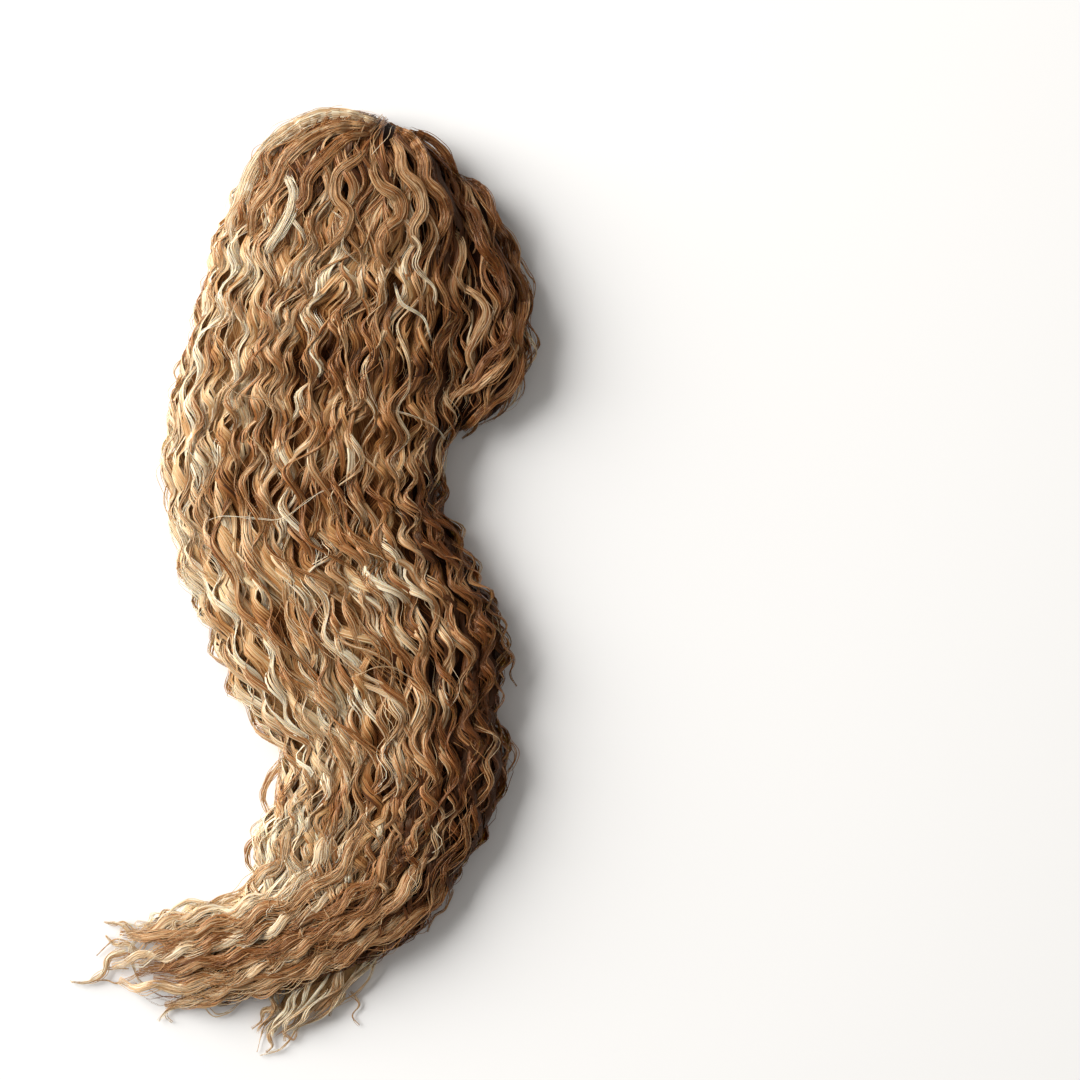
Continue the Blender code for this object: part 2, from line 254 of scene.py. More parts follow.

# Fine wisps of a few strands at the tips and along the edges. Those at the right flank have
# low tones, as painted shade.
WISPS = (
    # route, height_start, height_end, radius_start, radius_end, tone
    (((-104, -226), (-110, -234), (-109, -245), (-103, -256), (-92, -258)), 9, 6, 1.2, 0.8, 0.95),
    (((-106, -224), (-115, -217), (-121, -219), (-128, -217)), 5, 3, 1.4, 0.6, 0.8),
    (((-112, -230), (-120, -229), (-127, -233), (-133, -239)), 5, 2, 1.4, 0.5, 0.6),
    (((-106, -250), (-118, -256), (-126, -255), (-133, -255)), 4, 2, 1.3, 0.6, 0.6),
    (((-112, -247), (-125, -247), (-131, -250), (-140, -257), (-150, -255)), 4, 2, 1.0, 0.4, 0.7),
    (((-74, -267), (-84, -270), (-88, -277), (-84, -282)), 4, 2, 1.4, 0.5, 0.7),
    (((-62, -272), (-56, -277), (-47, -275), (-40, -268)), 4, 3, 1.0, 0.8, 0.6),
    (((-84, -216), (-80, -222), (-74, -219), (-70, -211)), 9, 8, 1.0, 0.8, 0.8),
    (((-12, -276), (-21, -281), (-26, -288), (-30, -301)), 4, 2, 1.2, 0.5, 0.7),
    (((-2, -280), (-8, -291), (-15, -299), (-28, -303)), 4, 2, 1.4, 0.5, 0.65),
    (((-6, -284), (-12, -288), (-6, -293), (-3, -285)), 5, 4, 0.9, 0.7, 0.6),
    (((30, -262), (36, -270), (32, -278), (36, -284)), 4, 2, 1.2, 0.5, 0.6),
    (((96, -196), (92, -208), (84, -214), (80, -224)), 4, 2, 1.4, 0.6, 0.3),
    (((-78, 70), (-86, 62), (-87, 50), (-82, 40)), 14, 12, 1.2, 0.9, 0.6),
    (((-66, 150), (-74, 146), (-82, 136), (-78, 126)), 15, 13, 1.0, 0.8, 0.6),
    (((132, -100), (137, -108), (134, -118), (127, -124)), 9, 7, 1.2, 0.9, 0.2),
    (((128, -40), (135, -48), (133, -58), (137, -66)), 9, 7, 1.0, 0.6, 0.2),
    (((138, 210), (144, 200), (149, 192), (147, 180)), 12, 9, 1.0, 0.7, 0.2),
    (((106, -10), (114, -16), (124, -18), (130, -26)), 10, 8, 1.1, 0.8, 0.3),
)

# Long locks that sweep over the crown from both sides of the parting.
CROWN_LOCKS = (
    # route, strips, spread, lift, radius, swing, tone
    (((48, 291), (27, 297), (4, 291), (-16, 278), (-29, 262), (-34, 245), (-43, 229), (-42, 213)),
     20, 6.0, 1.4, 0.8, 0, 0.74),
    (((46, 288), (27, 289), (8, 281), (-8, 266), (-16, 250), (-28, 236), (-30, 220)),
     16, 5.0, 1.8, 0.8, 0, 0.42),
    (((45, 284), (30, 280), (17, 268), (6, 255), (4, 241), (-6, 229), (-6, 214)),
     15, 4.2, 2.0, 0.8, 0, 0.24),
    (((45, 279), (38, 268), (26, 258), (24, 244), (32, 232), (26, 218), (14, 208)),
     13, 3.6, 2.2, 0.75, 0, 0.36),
    (((51, 272), (47, 261), (52, 250), (63, 243), (64, 231), (54, 221), (52, 208), (60, 197)),
     14, 4.0, 2.6, 0.75, 0, 0.34),
    (((60, 288), (71, 282), (78, 268), (80, 254), (90, 243), (92, 229), (86, 216)),
     15, 4.6, 1.8, 0.8, 0, 0.2),
    (((59, 282), (64, 271), (66, 259), (76, 248), (78, 235), (72, 223), (76, 210)),
     13, 3.8, 2.0, 0.75, 0, 0.4),
    (((64, 289), (79, 284), (90, 274), (97, 260), (104, 247), (103, 232)),
     13, 4.2, 1.2, 0.8, 0, 0.0),
)

# Locks that swell out over the side fall and curl in at its foot. Their tones are kept low,
# as painted shade of the side fall.
SIDE_LOCKS = (
    # route, strips, spread, lift, radius, swing, tone
    (((98, 262), (112, 254), (119, 246), (122, 234), (126, 224), (135, 213), (137, 200), (142, 188)),
     11, 3.6, 0.8, 0.65, 0.8, 0.02),
    (((124, 228), (132, 216), (136, 202), (141, 188), (142, 172), (138, 158), (140, 144)),
     11, 3.4, 1.0, 0.65, 1.2, 0.14),
    (((100, 248), (108, 236), (114, 224), (118, 210), (128, 198), (130, 184), (124, 170)),
     11, 3.6, 1.4, 0.65, 2.0, -0.12),
    (((102, 190), (115, 180), (118, 169), (110, 153), (107, 144), (112, 132)),
     10, 2.6, 2.0, 0.5, 0, 0.44),
    (((88, 228), (100, 220), (103, 208), (100, 194), (106, 184)),
     9, 2.2, 2.0, 0.5, 0, 0.42),
    (((141, 150), (139, 138), (131, 124), (121, 114), (111, 106), (103, 99)),
     12, 3.6, 1.2, 0.65, 1.4, 0.1),
    (((138, 158), (134, 145), (122, 133), (110, 126), (98, 118), (92, 108)),
     11, 3.2, 2.0, 0.6, 1.6, 0.3),
    (((130, 176), (134, 164), (130, 152), (120, 144), (112, 132), (100, 122)),
     10, 3.2, 1.8, 0.65, 1.6, 0.0),
)

# Locks that sweep round the bend and along the tail to its tips.
TAIL_LOCKS = (
    # route, strips, spread, lift, radius, swing, tone
    (((-4, -146), (-12, -172), (-30, -192), (-54, -206), (-82, -216), (-112, -226)),
     12, 4.2, 1.2, 0.65, 2.4, 0.6),
    (((22, -150), (10, -178), (-12, -197), (-42, -208), (-72, -213), (-97, -224)),
     13, 4.4, 1.8, 0.65, 2.8, 0.74),
    (((44, -142), (32, -172), (8, -194), (-22, -208), (-54, -218), (-88, -225), (-118, -224)),
     14, 4.6, 2.0, 0.68, 3.0, 0.4),
    (((62, -152), (50, -182), (22, -204), (-14, -217), (-50, -227), (-86, -234), (-114, -240)),
     14, 4.6, 2.2, 0.68, 3.2, 0.22),
    (((30, -188), (0, -210), (-34, -224), (-66, -232), (-98, -238), (-122, -246)),
     12, 3.8, 2.8, 0.65, 3.0, 0.66),
    (((84, -162), (66, -195), (36, -216), (0, -230), (-36, -239), (-70, -244), (-104, -246)),
     14, 4.8, 2.0, 0.68, 3.2, 0.34),
    (((60, -186), (36, -207), (2, -223), (-34, -235), (-70, -240), (-106, -250)),
     12, 4.0, 3.0, 0.65, 2.8, 0.12),
    (((100, -176), (80, -206), (50, -226), (14, -240), (-22, -248), (-60, -252), (-95, -252)),
     14, 4.8, 1.8, 0.68, 3.2, 0.26),
    (((70, -206), (40, -228), (5, -245), (-30, -255), (-62, -260), (-92, -258)),
     13, 4.2, 1.8, 0.65, 3.0, 0.46),
    (((10, -230), (-20, -243), (-50, -252), (-80, -258), (-106, -258), (-118, -254)),
     12, 3.8, 2.4, 0.62, 2.6, 0.6),
    (((50, -222), (20, -241), (-10, -253), (-40, -262), (-66, -267), (-88, -271)),
     12, 3.8, 1.4, 0.62, 2.8, 0.5),
)

# Single strands and one pale lock that lie over the falls.
OVERLAID = (
    # route, strands, spread, lift, radius, swing, tone
    (((-9, 260), (-3, 248), (-4, 236), (-10, 224), (-17, 213), (-21, 206)), 26, 3.4, 4.4, 0.36, 0, 0.96),
    (((-64, 38), (-48, 43), (-30, 42), (-12, 41), (2, 50), (14, 58), (28, 63)), 2, 0.7, 4.2, 0.22, 0, 0.9),
    (((57, 110), (76, 105), (90, 94), (92, 76), (86, 60)), 3, 0.9, 3.8, 0.24, 0, 0.85),
    (((44, 269), (51, 275), (57, 283), (58, 292)), 1, 0.2, 4.0, 0.22, 0, 0.8),
    (((20, 236), (30, 226), (28, 212), (40, 200)), 3, 1.2, 3.0, 0.26, 0, 0.7),
    (((-52, 132), (-38, 120), (-20, 116), (-6, 104)), 2, 1.0, 3.4, 0.22, 0, 0.6),
    (((30, -60), (52, -52), (70, -58), (88, -74)), 2, 1.0, 3.4, 0.22, 0, 0.6),
    (((-34, -20), (-16, -36), (-8, -54), (8, -66)), 3, 1.2, 3.4, 0.26, 0, 0.7),
    (((60, 190), (66, 176), (78, 168), (84, 154)), 4, 1.4, 3.0, 0.36, 0, 0.9),
    (((64, 226), (76, 214), (74, 200), (86, 186), (84, 172)), 5, 1.8, 2.6, 0.4, 0, 0.75),
)


def linear(hex_colour):
    """Linear red, green, blue and alpha of an sRGB hex colour."""
    srgb = np.array([int(hex_colour[k:k + 2], 16) for k in (1, 3, 5)]) / 255
    rgb = np.where(srgb <= 0.04045, srgb / 12.92, ((srgb + 0.055) / 1.055) ** 2.4)
    return (*rgb.tolist(), 1.0)


def node(tree, kind, links=None, **settings):
    """Add a node: settings are its properties, links map an input to a value or a socket."""
    new = tree.nodes.new(kind)
    for name, value in settings.items():
        setattr(new, name, value)
    for name, value in (links or {}).items():
        if isinstance(value, bpy.types.NodeSocket):
            tree.links.new(value, new.inputs[name])
        else:
            new.inputs[name].default_value = value
    return new


def start_material(name):
    """A new material with its node tree and its shader."""
    material = bpy.data.materials.new(name)
    material.use_nodes = True
    return material, material.node_tree, material.node_tree.nodes["Principled BSDF"]


def link_object(name, data):
    """A new object in the scene's collection."""
    new = bpy.data.objects.new(name, data)
    bpy.context.scene.collection.objects.link(new)
    return new


def unit(vectors):
    """Vectors scaled to length one."""
    return vectors / np.maximum(np.linalg.norm(vectors, axis=-1, keepdims=True), 1e-9)


def ease(t):
    """Smooth step from 0 at t = 0 to 1 at t = 1, flat beyond both."""
    t = np.clip(t, 0, 1)
    return t * t * (3 - 2 * t)


def smooth_table(rows, samples=20):
    """Rows filled in on a Catmull-Rom curve, each by a cubic blend of its four neighbours."""
    rows = np.asarray(rows, float)
    padded = np.vstack([rows[:1], rows, rows[-1:]])
    t = np.arange(samples)[:, None] / samples
    filled = []
    for p0, p1, p2, p3 in zip(padded, padded[1:], padded[2:], padded[3:]):
        slope_in = (p2 - p0) / 2
        slope_out = (p3 - p1) / 2
        cubic = slope_in + slope_out - 2 * (p2 - p1)
        square = 3 * (p2 - p1) - 2 * slope_in - slope_out
        filled.append(p1 + t * (slope_in + t * (square + t * cubic)))
    return np.vstack([*filled, rows[-1:]])


def make_fall(sections, folds, tone_and_shade):
    """A fall's filled-in table, with each row's distance along the middle line."""
    table = smooth_table(sections)
    middle = (table[:, 0:2] + table[:, 2:4]) / 2
    steps = np.linalg.norm(np.diff(middle, axis=0), axis=1)
    fall = {"s": np.concatenate([[0], np.cumsum(steps)]), "table": table, "folds": folds, "tone_and_shade": tone_and_shade}
    s = np.linspace(0, fall["s"][-1], PACE_ROWS)[:, None] + np.zeros((1, PACE_COLUMNS))
    grid = skin(fall, s, np.linspace(0, 1, PACE_COLUMNS)[None, :] + 0 * s, 0)
    reach = np.cumsum(np.linalg.norm(np.diff(grid, axis=0), axis=-1), axis=0)
    fall["reach"] = np.concatenate([0 * reach[:1], reach])
    return fall


def pace(fall, s, a):
    """Distance by which the wave is paced: partly the true length along the form at share a,
    read between four points of a grid, and partly the distance s along its middle."""
    row = np.clip(s / fall["s"][-1], 0, 1) * (PACE_ROWS - 1)
    column = np.clip(a, 0, 1) * (PACE_COLUMNS - 1)
    i = np.minimum(row.astype(int), PACE_ROWS - 2)
    j = np.minimum(column.astype(int), PACE_COLUMNS - 2)
    reach = fall["reach"]
    near = reach[i, j] + (column - j) * (reach[i, j + 1] - reach[i, j])
    far = reach[i + 1, j] + (column - j) * (reach[i + 1, j + 1] - reach[i + 1, j])
    return TRUE_PACE * (near + (row - i) * (far - near)) + (1 - TRUE_PACE) * s


def blunt(value):
    """Signed power that squares off a rounding."""
    return np.sign(value) * np.abs(value) ** BLUNTNESS


def read_table(fall, s):
    """Left edge, right edge and height at distance s."""
    return [np.interp(s, fall["s"], column) for column in fall["table"].T]


def across(a):
    """Sideways share, from -1 to 1, at share a of the way over a section."""
    return -blunt(np.cos(-UNDERCUT + (np.pi + 2 * UNDERCUT) * a))


def skin(fall, s, a, depth):
    """Point of the outer form at distance s and share a of the way over, sunk by depth.

    The section is a blunted ellipse that runs on past its widest place down to the floor.
    Its reach and height carry a cosine for each fold, so the form has broad soft locks.
    """
    left_x, left_y, right_x, right_y, height = read_table(fall, s)
    span_x = right_x - left_x
    span_y = right_y - left_y
    span = np.hypot(span_x, span_y)
    foot = blunt(np.sin(UNDERCUT))
    u = across(a)
    v = (blunt(np.sin(-UNDERCUT + (np.pi + 2 * UNDERCUT) * a)) + foot) / (1 + foot)
    fold = np.minimum(FOLD_DEPTH, FOLD_DEPTH_SHARE * height)
    turn = TURN * fall["folds"] * a
    swell = 0.7 + 0.3 * np.sin(0.045 * s + 1.9 * np.round(fall["folds"] * a))
    out = -0.5 * fold * swell * np.cos(turn) - depth
    reach = u * (span / 2 + out)
    x = (left_x + right_x) / 2 + span_x / span * reach
    y = (left_y + right_y) / 2 + span_y / span * reach
    return np.stack([x, y, v * (height + out)], axis=-1)


def wave_phase(fall, s, a):
    """Phase of the wave: a turn each wave length, in longer turns near the crown, with a slow
    drift over and along the fall, so that neighbours keep step but the whole fall doesn't."""
    paced = pace(fall, s, a) + CROWN_PULL * np.exp(-s / CROWN_REACH)
    drift = PHASE_DRIFT * np.sin(DRIFT_ACROSS * across(a) + DRIFT_ALONG * s)
    for size, turn_across, turn_along, start in WAVE_DRIFTS:
        drift = drift + size * np.sin(turn_across * a + turn_along * s + start)
    return TURN * paced / WAVE_LENGTH + drift


def tone_and_shade_shift(fall, s, a):
    """Change of tone over a fall, with painted light and shade: each place of its table fades in
    or out by a smooth step over a stretch of the share a or the distance s, and soft patches
    come from products of sines. The lighter left flank is painted light, and the darker right
    flank and lower right are painted shade."""
    tone_and_shade = fall["tone_and_shade"]
    # Painted light on the left flank; painted shade on the right flank and the lower right.
    left = 1 - ease((a - 0.15) / 0.4)
    tail = ease((s - 420) / 80)
    right = ease((a - 0.58) / 0.3)
    low_right = ease((s - 330) / 120) * ease((a - 0.45) / 0.35)
    crown = (1 - ease((s - 20) / 70)) * (0.35 + 0.65 * ease((a - 0.15) / 0.3))
    shift = tone_and_shade["all"] + tone_and_shade["left"] * left + tone_and_shade["tail"] * tail
    shift = shift - tone_and_shade["right"] * right - tone_and_shade["low_right"] * low_right - tone_and_shade["crown"] * crown
    for along_a, across_a, start_a, along_b, across_b, start_b in TONE_PATCHES:
        first = np.sin(along_a * s + across_a * a + start_a)
        second = np.sin(across_b * a + along_b * s + start_b)
        shift = shift + PATCH_TONE * first * second
    return shift


def even_shares(fall, order):
    """Shares of the way over a fall for even shares of the length over its middle section."""
    a = np.linspace(0, 1, 400)
    s = np.full_like(a, 0.45 * fall["s"][-1])
    over = np.linalg.norm(np.diff(skin(fall, s, a, 0), axis=0), axis=1)
    reach = np.concatenate([[0], np.cumsum(over)])
    return np.interp(0.02 + 0.96 * order, reach / reach[-1], a)


def ripple(lock, s, row, length):
    """Slow wander from -1 to 1: a sine of the given length with the lock's own phase, and a
    smaller one of a shorter length."""
    chance = lock["chance"][:, row:row + 1]
    slow = np.sin(TURN * s / length + chance)
    quick = np.sin(TURN * s / (0.43 * length) + 2 * chance)
    return 0.7 * slow + 0.3 * quick


def follow(fall, lock, s):
    """Middle line of locks at distances s, with its flat and outward directions.

    Each lock keeps its share of the way over the form, give or take a slow stray, and dives
    under its neighbours at both ends. The wave swings it sideways by a sine and lifts it by
    a cosine of the same phase, and leans its flat side to and fro.
    """
    left_x, left_y, right_x, right_y, _ = read_table(fall, s)
    level = np.stack([right_x - left_x, right_y - left_y, 0 * s], -1)
    span = np.linalg.norm(level, axis=-1)
    narrow = np.clip(span / FULL_SPAN, 0.45, 1)
    freed = ease(s / ROOT_REACH)
    stray = lock["stray"] * ripple(lock, s, *LOCK_WANDER["stray"]) * freed
    a = np.clip(lock["home"] + stray, 0.015, 0.985)
    from_start = (s - lock["start"]) / DIVE_IN_LENGTH
    from_end = (lock["finish"] - s) / DIVE_OUT_LENGTH
    dive = lock["dive_in"] * (1 - ease(from_start)) + lock["dive_out"] * (1 - ease(from_end))
    depth = lock["depth"] + (0.9 * ripple(lock, s, *LOCK_WANDER["depth"]) + dive) * narrow
    point = skin(fall, s, a, depth)
    side = unit(skin(fall, s, a + 0.006, depth) - skin(fall, s, a - 0.006, depth))
    along = unit(skin(fall, s + 2, a, depth) - skin(fall, s - 2, a, depth))
    up = unit(np.cross(along, side))
    phase = wave_phase(fall, s, a) + lock["lag"] + 0.45 * ripple(lock, s, *LOCK_WANDER["phase"])
    phase = phase + TURN * s / WAVE_LENGTH * lock["stretch"]
    amount = (0.6 + 0.4 * freed) * np.clip(narrow * 1.8, 0.6, 1)
    amount = amount * (0.78 + 0.25 * ripple(lock, s, *LOCK_WANDER["swing"]))
    amount = amount * (1 + TAIL_SWING * ease((s - 470) / 90))
    sway = unit(0.75 * unit(level) + 0.25 * side)
    swing = lock["swing"] * amount * np.sin(phase)
    rise = lock["lift"] * amount * np.cos(phase)
    point = point + sway * swing[..., None] + up * rise[..., None]
    lean = (lock["lean"] * np.sin(phase + 0.8))[..., None]
    flat = unit(side * np.cos(lean) - up * np.sin(lean))
    thick = unit(up * np.cos(lean) + side * np.sin(lean))
    return point, flat, thick, narrow


def plan_locks(fall, count, seed, width, depth, length, swing=(2.2, 3.6), reach=(-0.3, 0.76),
               tones=(0.22, 0.86), stray=0.032):
    """Values of locks spread evenly over a fall: home share, start, finish, depth and wave.

    Locks that would cross the bare place in the parting start below it.
    """
    random = np.random.default_rng(seed)
    total = fall["s"][-1]
    order = np.arange(count)[:, None] + 0.37 * seed
    home = even_shares(fall, (0.7549 * order) % 1)
    start = total * (reach[0] + (reach[1] - reach[0]) * ((0.5698 * order) % 1))
    finish = start + total * random.uniform(*length, (count, 1))
    root = start < 8
    tip = finish > 0.9 * total
    start = np.where(root, random.uniform(1, 8, (count, 1)), start)
    if fall is main_form:
        parted = np.abs(home - PARTING_SHARE) < PARTING_HALF_SHARE
        start = np.where(parted, np.maximum(start, PARTING_END + random.uniform(0, 5, (count, 1))), start)
    finish = np.where(tip, total * random.uniform(0.9, 0.998, (count, 1)), finish)
    return {
        "home": home,
        "start": start,
        "finish": finish,
        "dive_in": np.where(root, ROOT_DIVE, LOCK_DIVE),
        "dive_out": np.where(tip, 0.0, LOCK_DIVE),
        "depth": random.uniform(*depth, (count, 1)),
        "width": random.uniform(*width, (count, 1)),
        "stray": stray * random.uniform(0.4, 1.2, (count, 1)),
        "lag": random.normal(0, 0.26, (count, 1)),
        "stretch": random.normal(0, 0.014, (count, 1)),
        "swing": random.uniform(*swing, (count, 1)),
        "lift": random.uniform(1.3, 2.7, (count, 1)),
        "lean": random.uniform(0.4, 0.9, (count, 1)),
        "chance": random.uniform(0, TURN, (count, 8)),
        "tone": tones[0] + (tones[1] - tones[0]) * lock_tones(random.random((count, 1))),
        # Deeper locks take more of the fall's change of tone, so that its painted light and shade are
        # stronger in the depths.
        "tone_and_shade_weight": np.full((count, 1), 0.8 + 0.26 * np.mean(depth)),
    }


def lock_tones(share):
    """Tone of a lock from an even random share: most are copper, some blonde, a few pale."""
    return np.interp(share, [0, 0.5, 0.78, 0.9, 1], [0.0, 0.28, 0.56, 0.76, 1.0])


def member_distances(members, random, steps, early, late):
    """Distances of the members' own starts and finishes, closer together near the crown."""
    reach = members["finish"] - members["start"]
    count = len(reach)
    start = members["start"] + reach * random.uniform(0, early, (count, 1))
    finish = members["finish"] - reach * random.uniform(0, late, (count, 1))
    t = np.linspace(0, 1, steps)[None, :]
    bend = np.where(start < 20, 1.3, 1.0)
    return start + (finish - start) * t ** bend, np.broadcast_to(t, (count, steps))


def roll(flat, thick, turn):
    """Flat and thick directions turned about the path, so that thick leans towards flat."""
    turn = turn[..., None]
    return flat * np.cos(turn) - thick * np.sin(turn), thick * np.cos(turn) + flat * np.sin(turn)


def frames_along(point, up):
    """Flat and thick directions square to a path, thick as near to up as that allows."""
    tangent = unit(np.gradient(point, axis=1))
    flat = unit(np.cross(up, tangent))
    return flat, np.cross(tangent, flat)


def lay_strips(name, fall, locks, per_lock, steps, seed, material, node_name):
    """Strips side by side in each lock, each a low ridge that thins to both ends.

    A strip's middle is the lock's own, shifted across its flat side by an even share of its
    width that fans in and out along the lock, and out by the lock's rounding.
    """
    random = np.random.default_rng(seed)
    pick = np.repeat(np.arange(len(locks["home"])), per_lock)
    members = {key: value[pick] for key, value in locks.items()}
    count = len(pick)
    order = (np.arange(count) % per_lock)[:, None]
    x = (2 * order + 1) / per_lock - 1 + random.uniform(-0.12, 0.12, (count, 1))
    members["lag"] = members["lag"] + 0.22 * x + random.normal(0, 0.08, (count, 1))
    members["swing"] = members["swing"] * random.uniform(0.9, 1.1, (count, 1))
    own = {"chance": random.uniform(0, TURN, (count, 4))}
    s, t = member_distances(members, random, steps, 0.08, 0.2)
    point, flat, thick, narrow = follow(fall, members, s)
    half_lock = members["width"] / 2 * narrow
    fan = 0.78 + 0.22 * ripple(members, s, *LOCK_WANDER["fan"])
    shift = x * half_lock * fan + 0.45 * ripple(own, s, *STRIP_WANDER["shift"])
    dome = 0.3 * half_lock * np.sqrt(np.maximum(1 - x ** 2, 0))
    rise = dome + 0.3 * ripple(own, s, *STRIP_WANDER["rise"])
    point = point + flat * shift[..., None] + thick * rise[..., None]
    taper = 0.05 + 0.95 * ease(t / 0.16) * ease((1 - t) / 0.34)
    swell = 0.85 + 0.15 * ripple(own, s, *STRIP_WANDER["width"])
    half_width = half_lock / per_lock * STRIP_LAP * taper * swell
    half_height = np.minimum(0.5, 0.17 * half_width + 0.08)
    flat, thick = roll(*frames_along(point, thick), LOCK_ROUNDING * x + 0 * s)
    tone = members["tone"] + random.normal(0, 0.05, (count, 1))
    tone = tone + 0.07 * ripple(own, s, *STRIP_WANDER["tone"])
    # The tone takes the fall's painted light and shade, and its other changes of tone.
    tone = tone + members["tone_and_shade_weight"] * tone_and_shade_shift(fall, s, members["home"])
    mesh = tube_mesh(name, point, flat, thick, half_width, half_height, tone, s, flat_top=True)
    return add_piece(name, mesh, material, node_name)


def strand_paths(fall, locks, per_lock, steps, seed, radius, loose_share=0.13):
    """Strands in each lock: the lock's middle shifted across and out, with a wander of each
    strand's own, a slightly different phase, and a round outline that thins to both ends.
    A loose strand keeps neither the lock's width nor its phase."""
    random = np.random.default_rng(seed)
    pick = np.repeat(np.arange(len(locks["home"])), per_lock)
    members = {key: value[pick] for key, value in locks.items()}
    count = len(pick)
    loose = random.random((count, 1)) < loose_share
    x = random.uniform(-1, 1, (count, 1)) * np.where(loose, 2.4, 1.05)
    own_lag = random.normal(0, 1, (count, 1)) * np.where(loose, 0.6, 0.08)
    members["lag"] = members["lag"] + 0.22 * np.clip(x, -1, 1) + own_lag
    members["swing"] = members["swing"] * random.uniform(0.88, 1.1, (count, 1))
    own = {"chance": random.uniform(0, TURN, (count, 4))}
    s, t = member_distances(members, random, steps, 0.15, 0.2)
    point, flat, thick, narrow = follow(fall, members, s)
    half_lock = members["width"] / 2 * narrow
    fan = 0.8 + 0.25 * ripple(members, s, *LOCK_WANDER["fan"])
    shift = x * half_lock * fan + 0.45 * ripple(own, s, *STRAND_WANDER["shift"])
    shift = shift + 0.1 * ripple(own, s, *STRAND_WANDER["kink"])
    dome = 0.3 * half_lock * np.sqrt(np.maximum(1 - x ** 2, 0))
    rise = dome + random.uniform(0.05, 0.55, (count, 1))
    rise = rise + 0.3 * ripple(own, s, *STRAND_WANDER["rise"])
    rise = rise + np.where(loose, random.uniform(0, 1.6, (count, 1)), 0)
    point = point + flat * shift[..., None] + thick * rise[..., None]
    taper = 0.25 + 0.75 * ease(t / 0.05) * ease((1 - t) / 0.1)
    thickness = radius * random.uniform(0.75, 1.2, (count, 1)) * taper
    tone = members["tone"] + random.normal(0.03, 0.07, (count, 1))
    tone = tone + 0.08 * ripple(own, s, *STRAND_WANDER["tone"])
    # The tone takes the fall's painted light and shade, and its other changes of tone.
    tone = tone + members["tone_and_shade_weight"] * tone_and_shade_shift(fall, s, members["home"])
    return {"point": point, "up": thick, "radius": thickness, "tone": tone, "s": s, "a": members["home"]}


def lay_strands(name, paths, material, node_name):
    """Mesh strands as three-cornered tubes."""
    flat, thick = frames_along(paths["point"], paths["up"])
    radius = paths["radius"]
    mesh = tube_mesh(name, paths["point"], flat, thick, radius, STRAND_HEIGHT * radius,
                     paths["tone"], paths["s"])
    return add_piece(name, mesh, material, node_name)


def tube_mesh(name, centre, side, up, half_width, half_height, tone, length_at, flat_top=False):
    """Closed tubes along many paths at once.

    Each ring is centre + side * half_width * cos + up * half_height * sin, and its first
    corner is the topmost. The fibre attribute holds distance along, distance across and the
    tube's own offset. With flat_top the two lower edges are sharp, so that the upper side is
    shaded as a low ridge and not as a round rod.
    """
    count, steps = centre.shape[:2]
    angle = np.pi / 2 + TURN * np.arange(CORNERS) / CORNERS
    cosine = np.cos(angle)[:, None]
    sine = np.sin(angle)[:, None]
    ring = centre[:, :, None] + side[:, :, None] * half_width[:, :, None, None] * cosine
    ring = ring + up[:, :, None] * half_height[:, :, None, None] * sine
    ring[..., 2] = np.maximum(ring[..., 2], LEAST_HEIGHT + LEAST_SECTION * (1 + np.sin(angle)))

    loops, sizes = tube_faces(count, steps)
    mesh = bpy.data.meshes.new(name)
    mesh.vertices.add(count * steps * CORNERS)
    mesh.vertices.foreach_set("co", (ring * MM).ravel())
    mesh.loops.add(len(loops))
    mesh.loops.foreach_set("vertex_index", loops)
    mesh.polygons.add(len(sizes))
    mesh.polygons.foreach_set("loop_start", np.concatenate([[0], np.cumsum(sizes)[:-1]]))
    mesh.update(calc_edges=True)
    mesh.polygons.foreach_set("use_smooth", np.ones(len(sizes), bool))
    if flat_top:
        edge = np.empty(2 * len(mesh.edges), np.int32)
        mesh.edges.foreach_get("vertices", edge)
        corner = edge.reshape(-1, 2) % CORNERS
        keen = (corner[:, 0] == corner[:, 1]) & (corner[:, 0] > 0)
        mesh.attributes.new("sharp_edge", "BOOLEAN", "EDGE").data.foreach_set("value", keen)
    uv = tube_bake_map(count, steps)
    mesh.uv_layers.new(name="OFBake").data.foreach_set("uv", uv.astype(np.float32).ravel())

    shape = (count, steps, CORNERS)
    along = np.broadcast_to(length_at[:, :, None], shape)
    sideways = half_width[:, :, None] * np.cos(angle)
    own = np.broadcast_to(7.3 * np.arange(count)[:, None, None], shape)
    fibre = np.stack([along, sideways, own], -1)
    put_hair_values(mesh, fibre, np.broadcast_to(tone[:, :, None], shape))
    return mesh


def tube_faces(count, steps):
    """Corner numbers and face sizes of tubes: quads between neighbouring rings, each from a
    corner to the next one round and on to the next ring, then one face at each end."""
    first = (np.arange(count)[:, None] * steps + np.arange(steps - 1)) * CORNERS
    c = np.arange(CORNERS)
    c_next = (c + 1) % CORNERS
    ring_quads = (c, c_next, CORNERS + c_next, CORNERS + c)
    quads = np.stack([first[..., None] + corner for corner in ring_quads], axis=-1).reshape(-1, 4)
    starts = (np.arange(count) * steps * CORNERS)[:, None] + c[::-1]
    ends = ((np.arange(count) + 1) * steps * CORNERS - CORNERS)[:, None] + c
    loops = np.concatenate([quads.ravel(), starts.ravel(), ends.ravel()])
    return loops, np.concatenate([np.full(len(quads), 4), np.full(2 * count, CORNERS)])


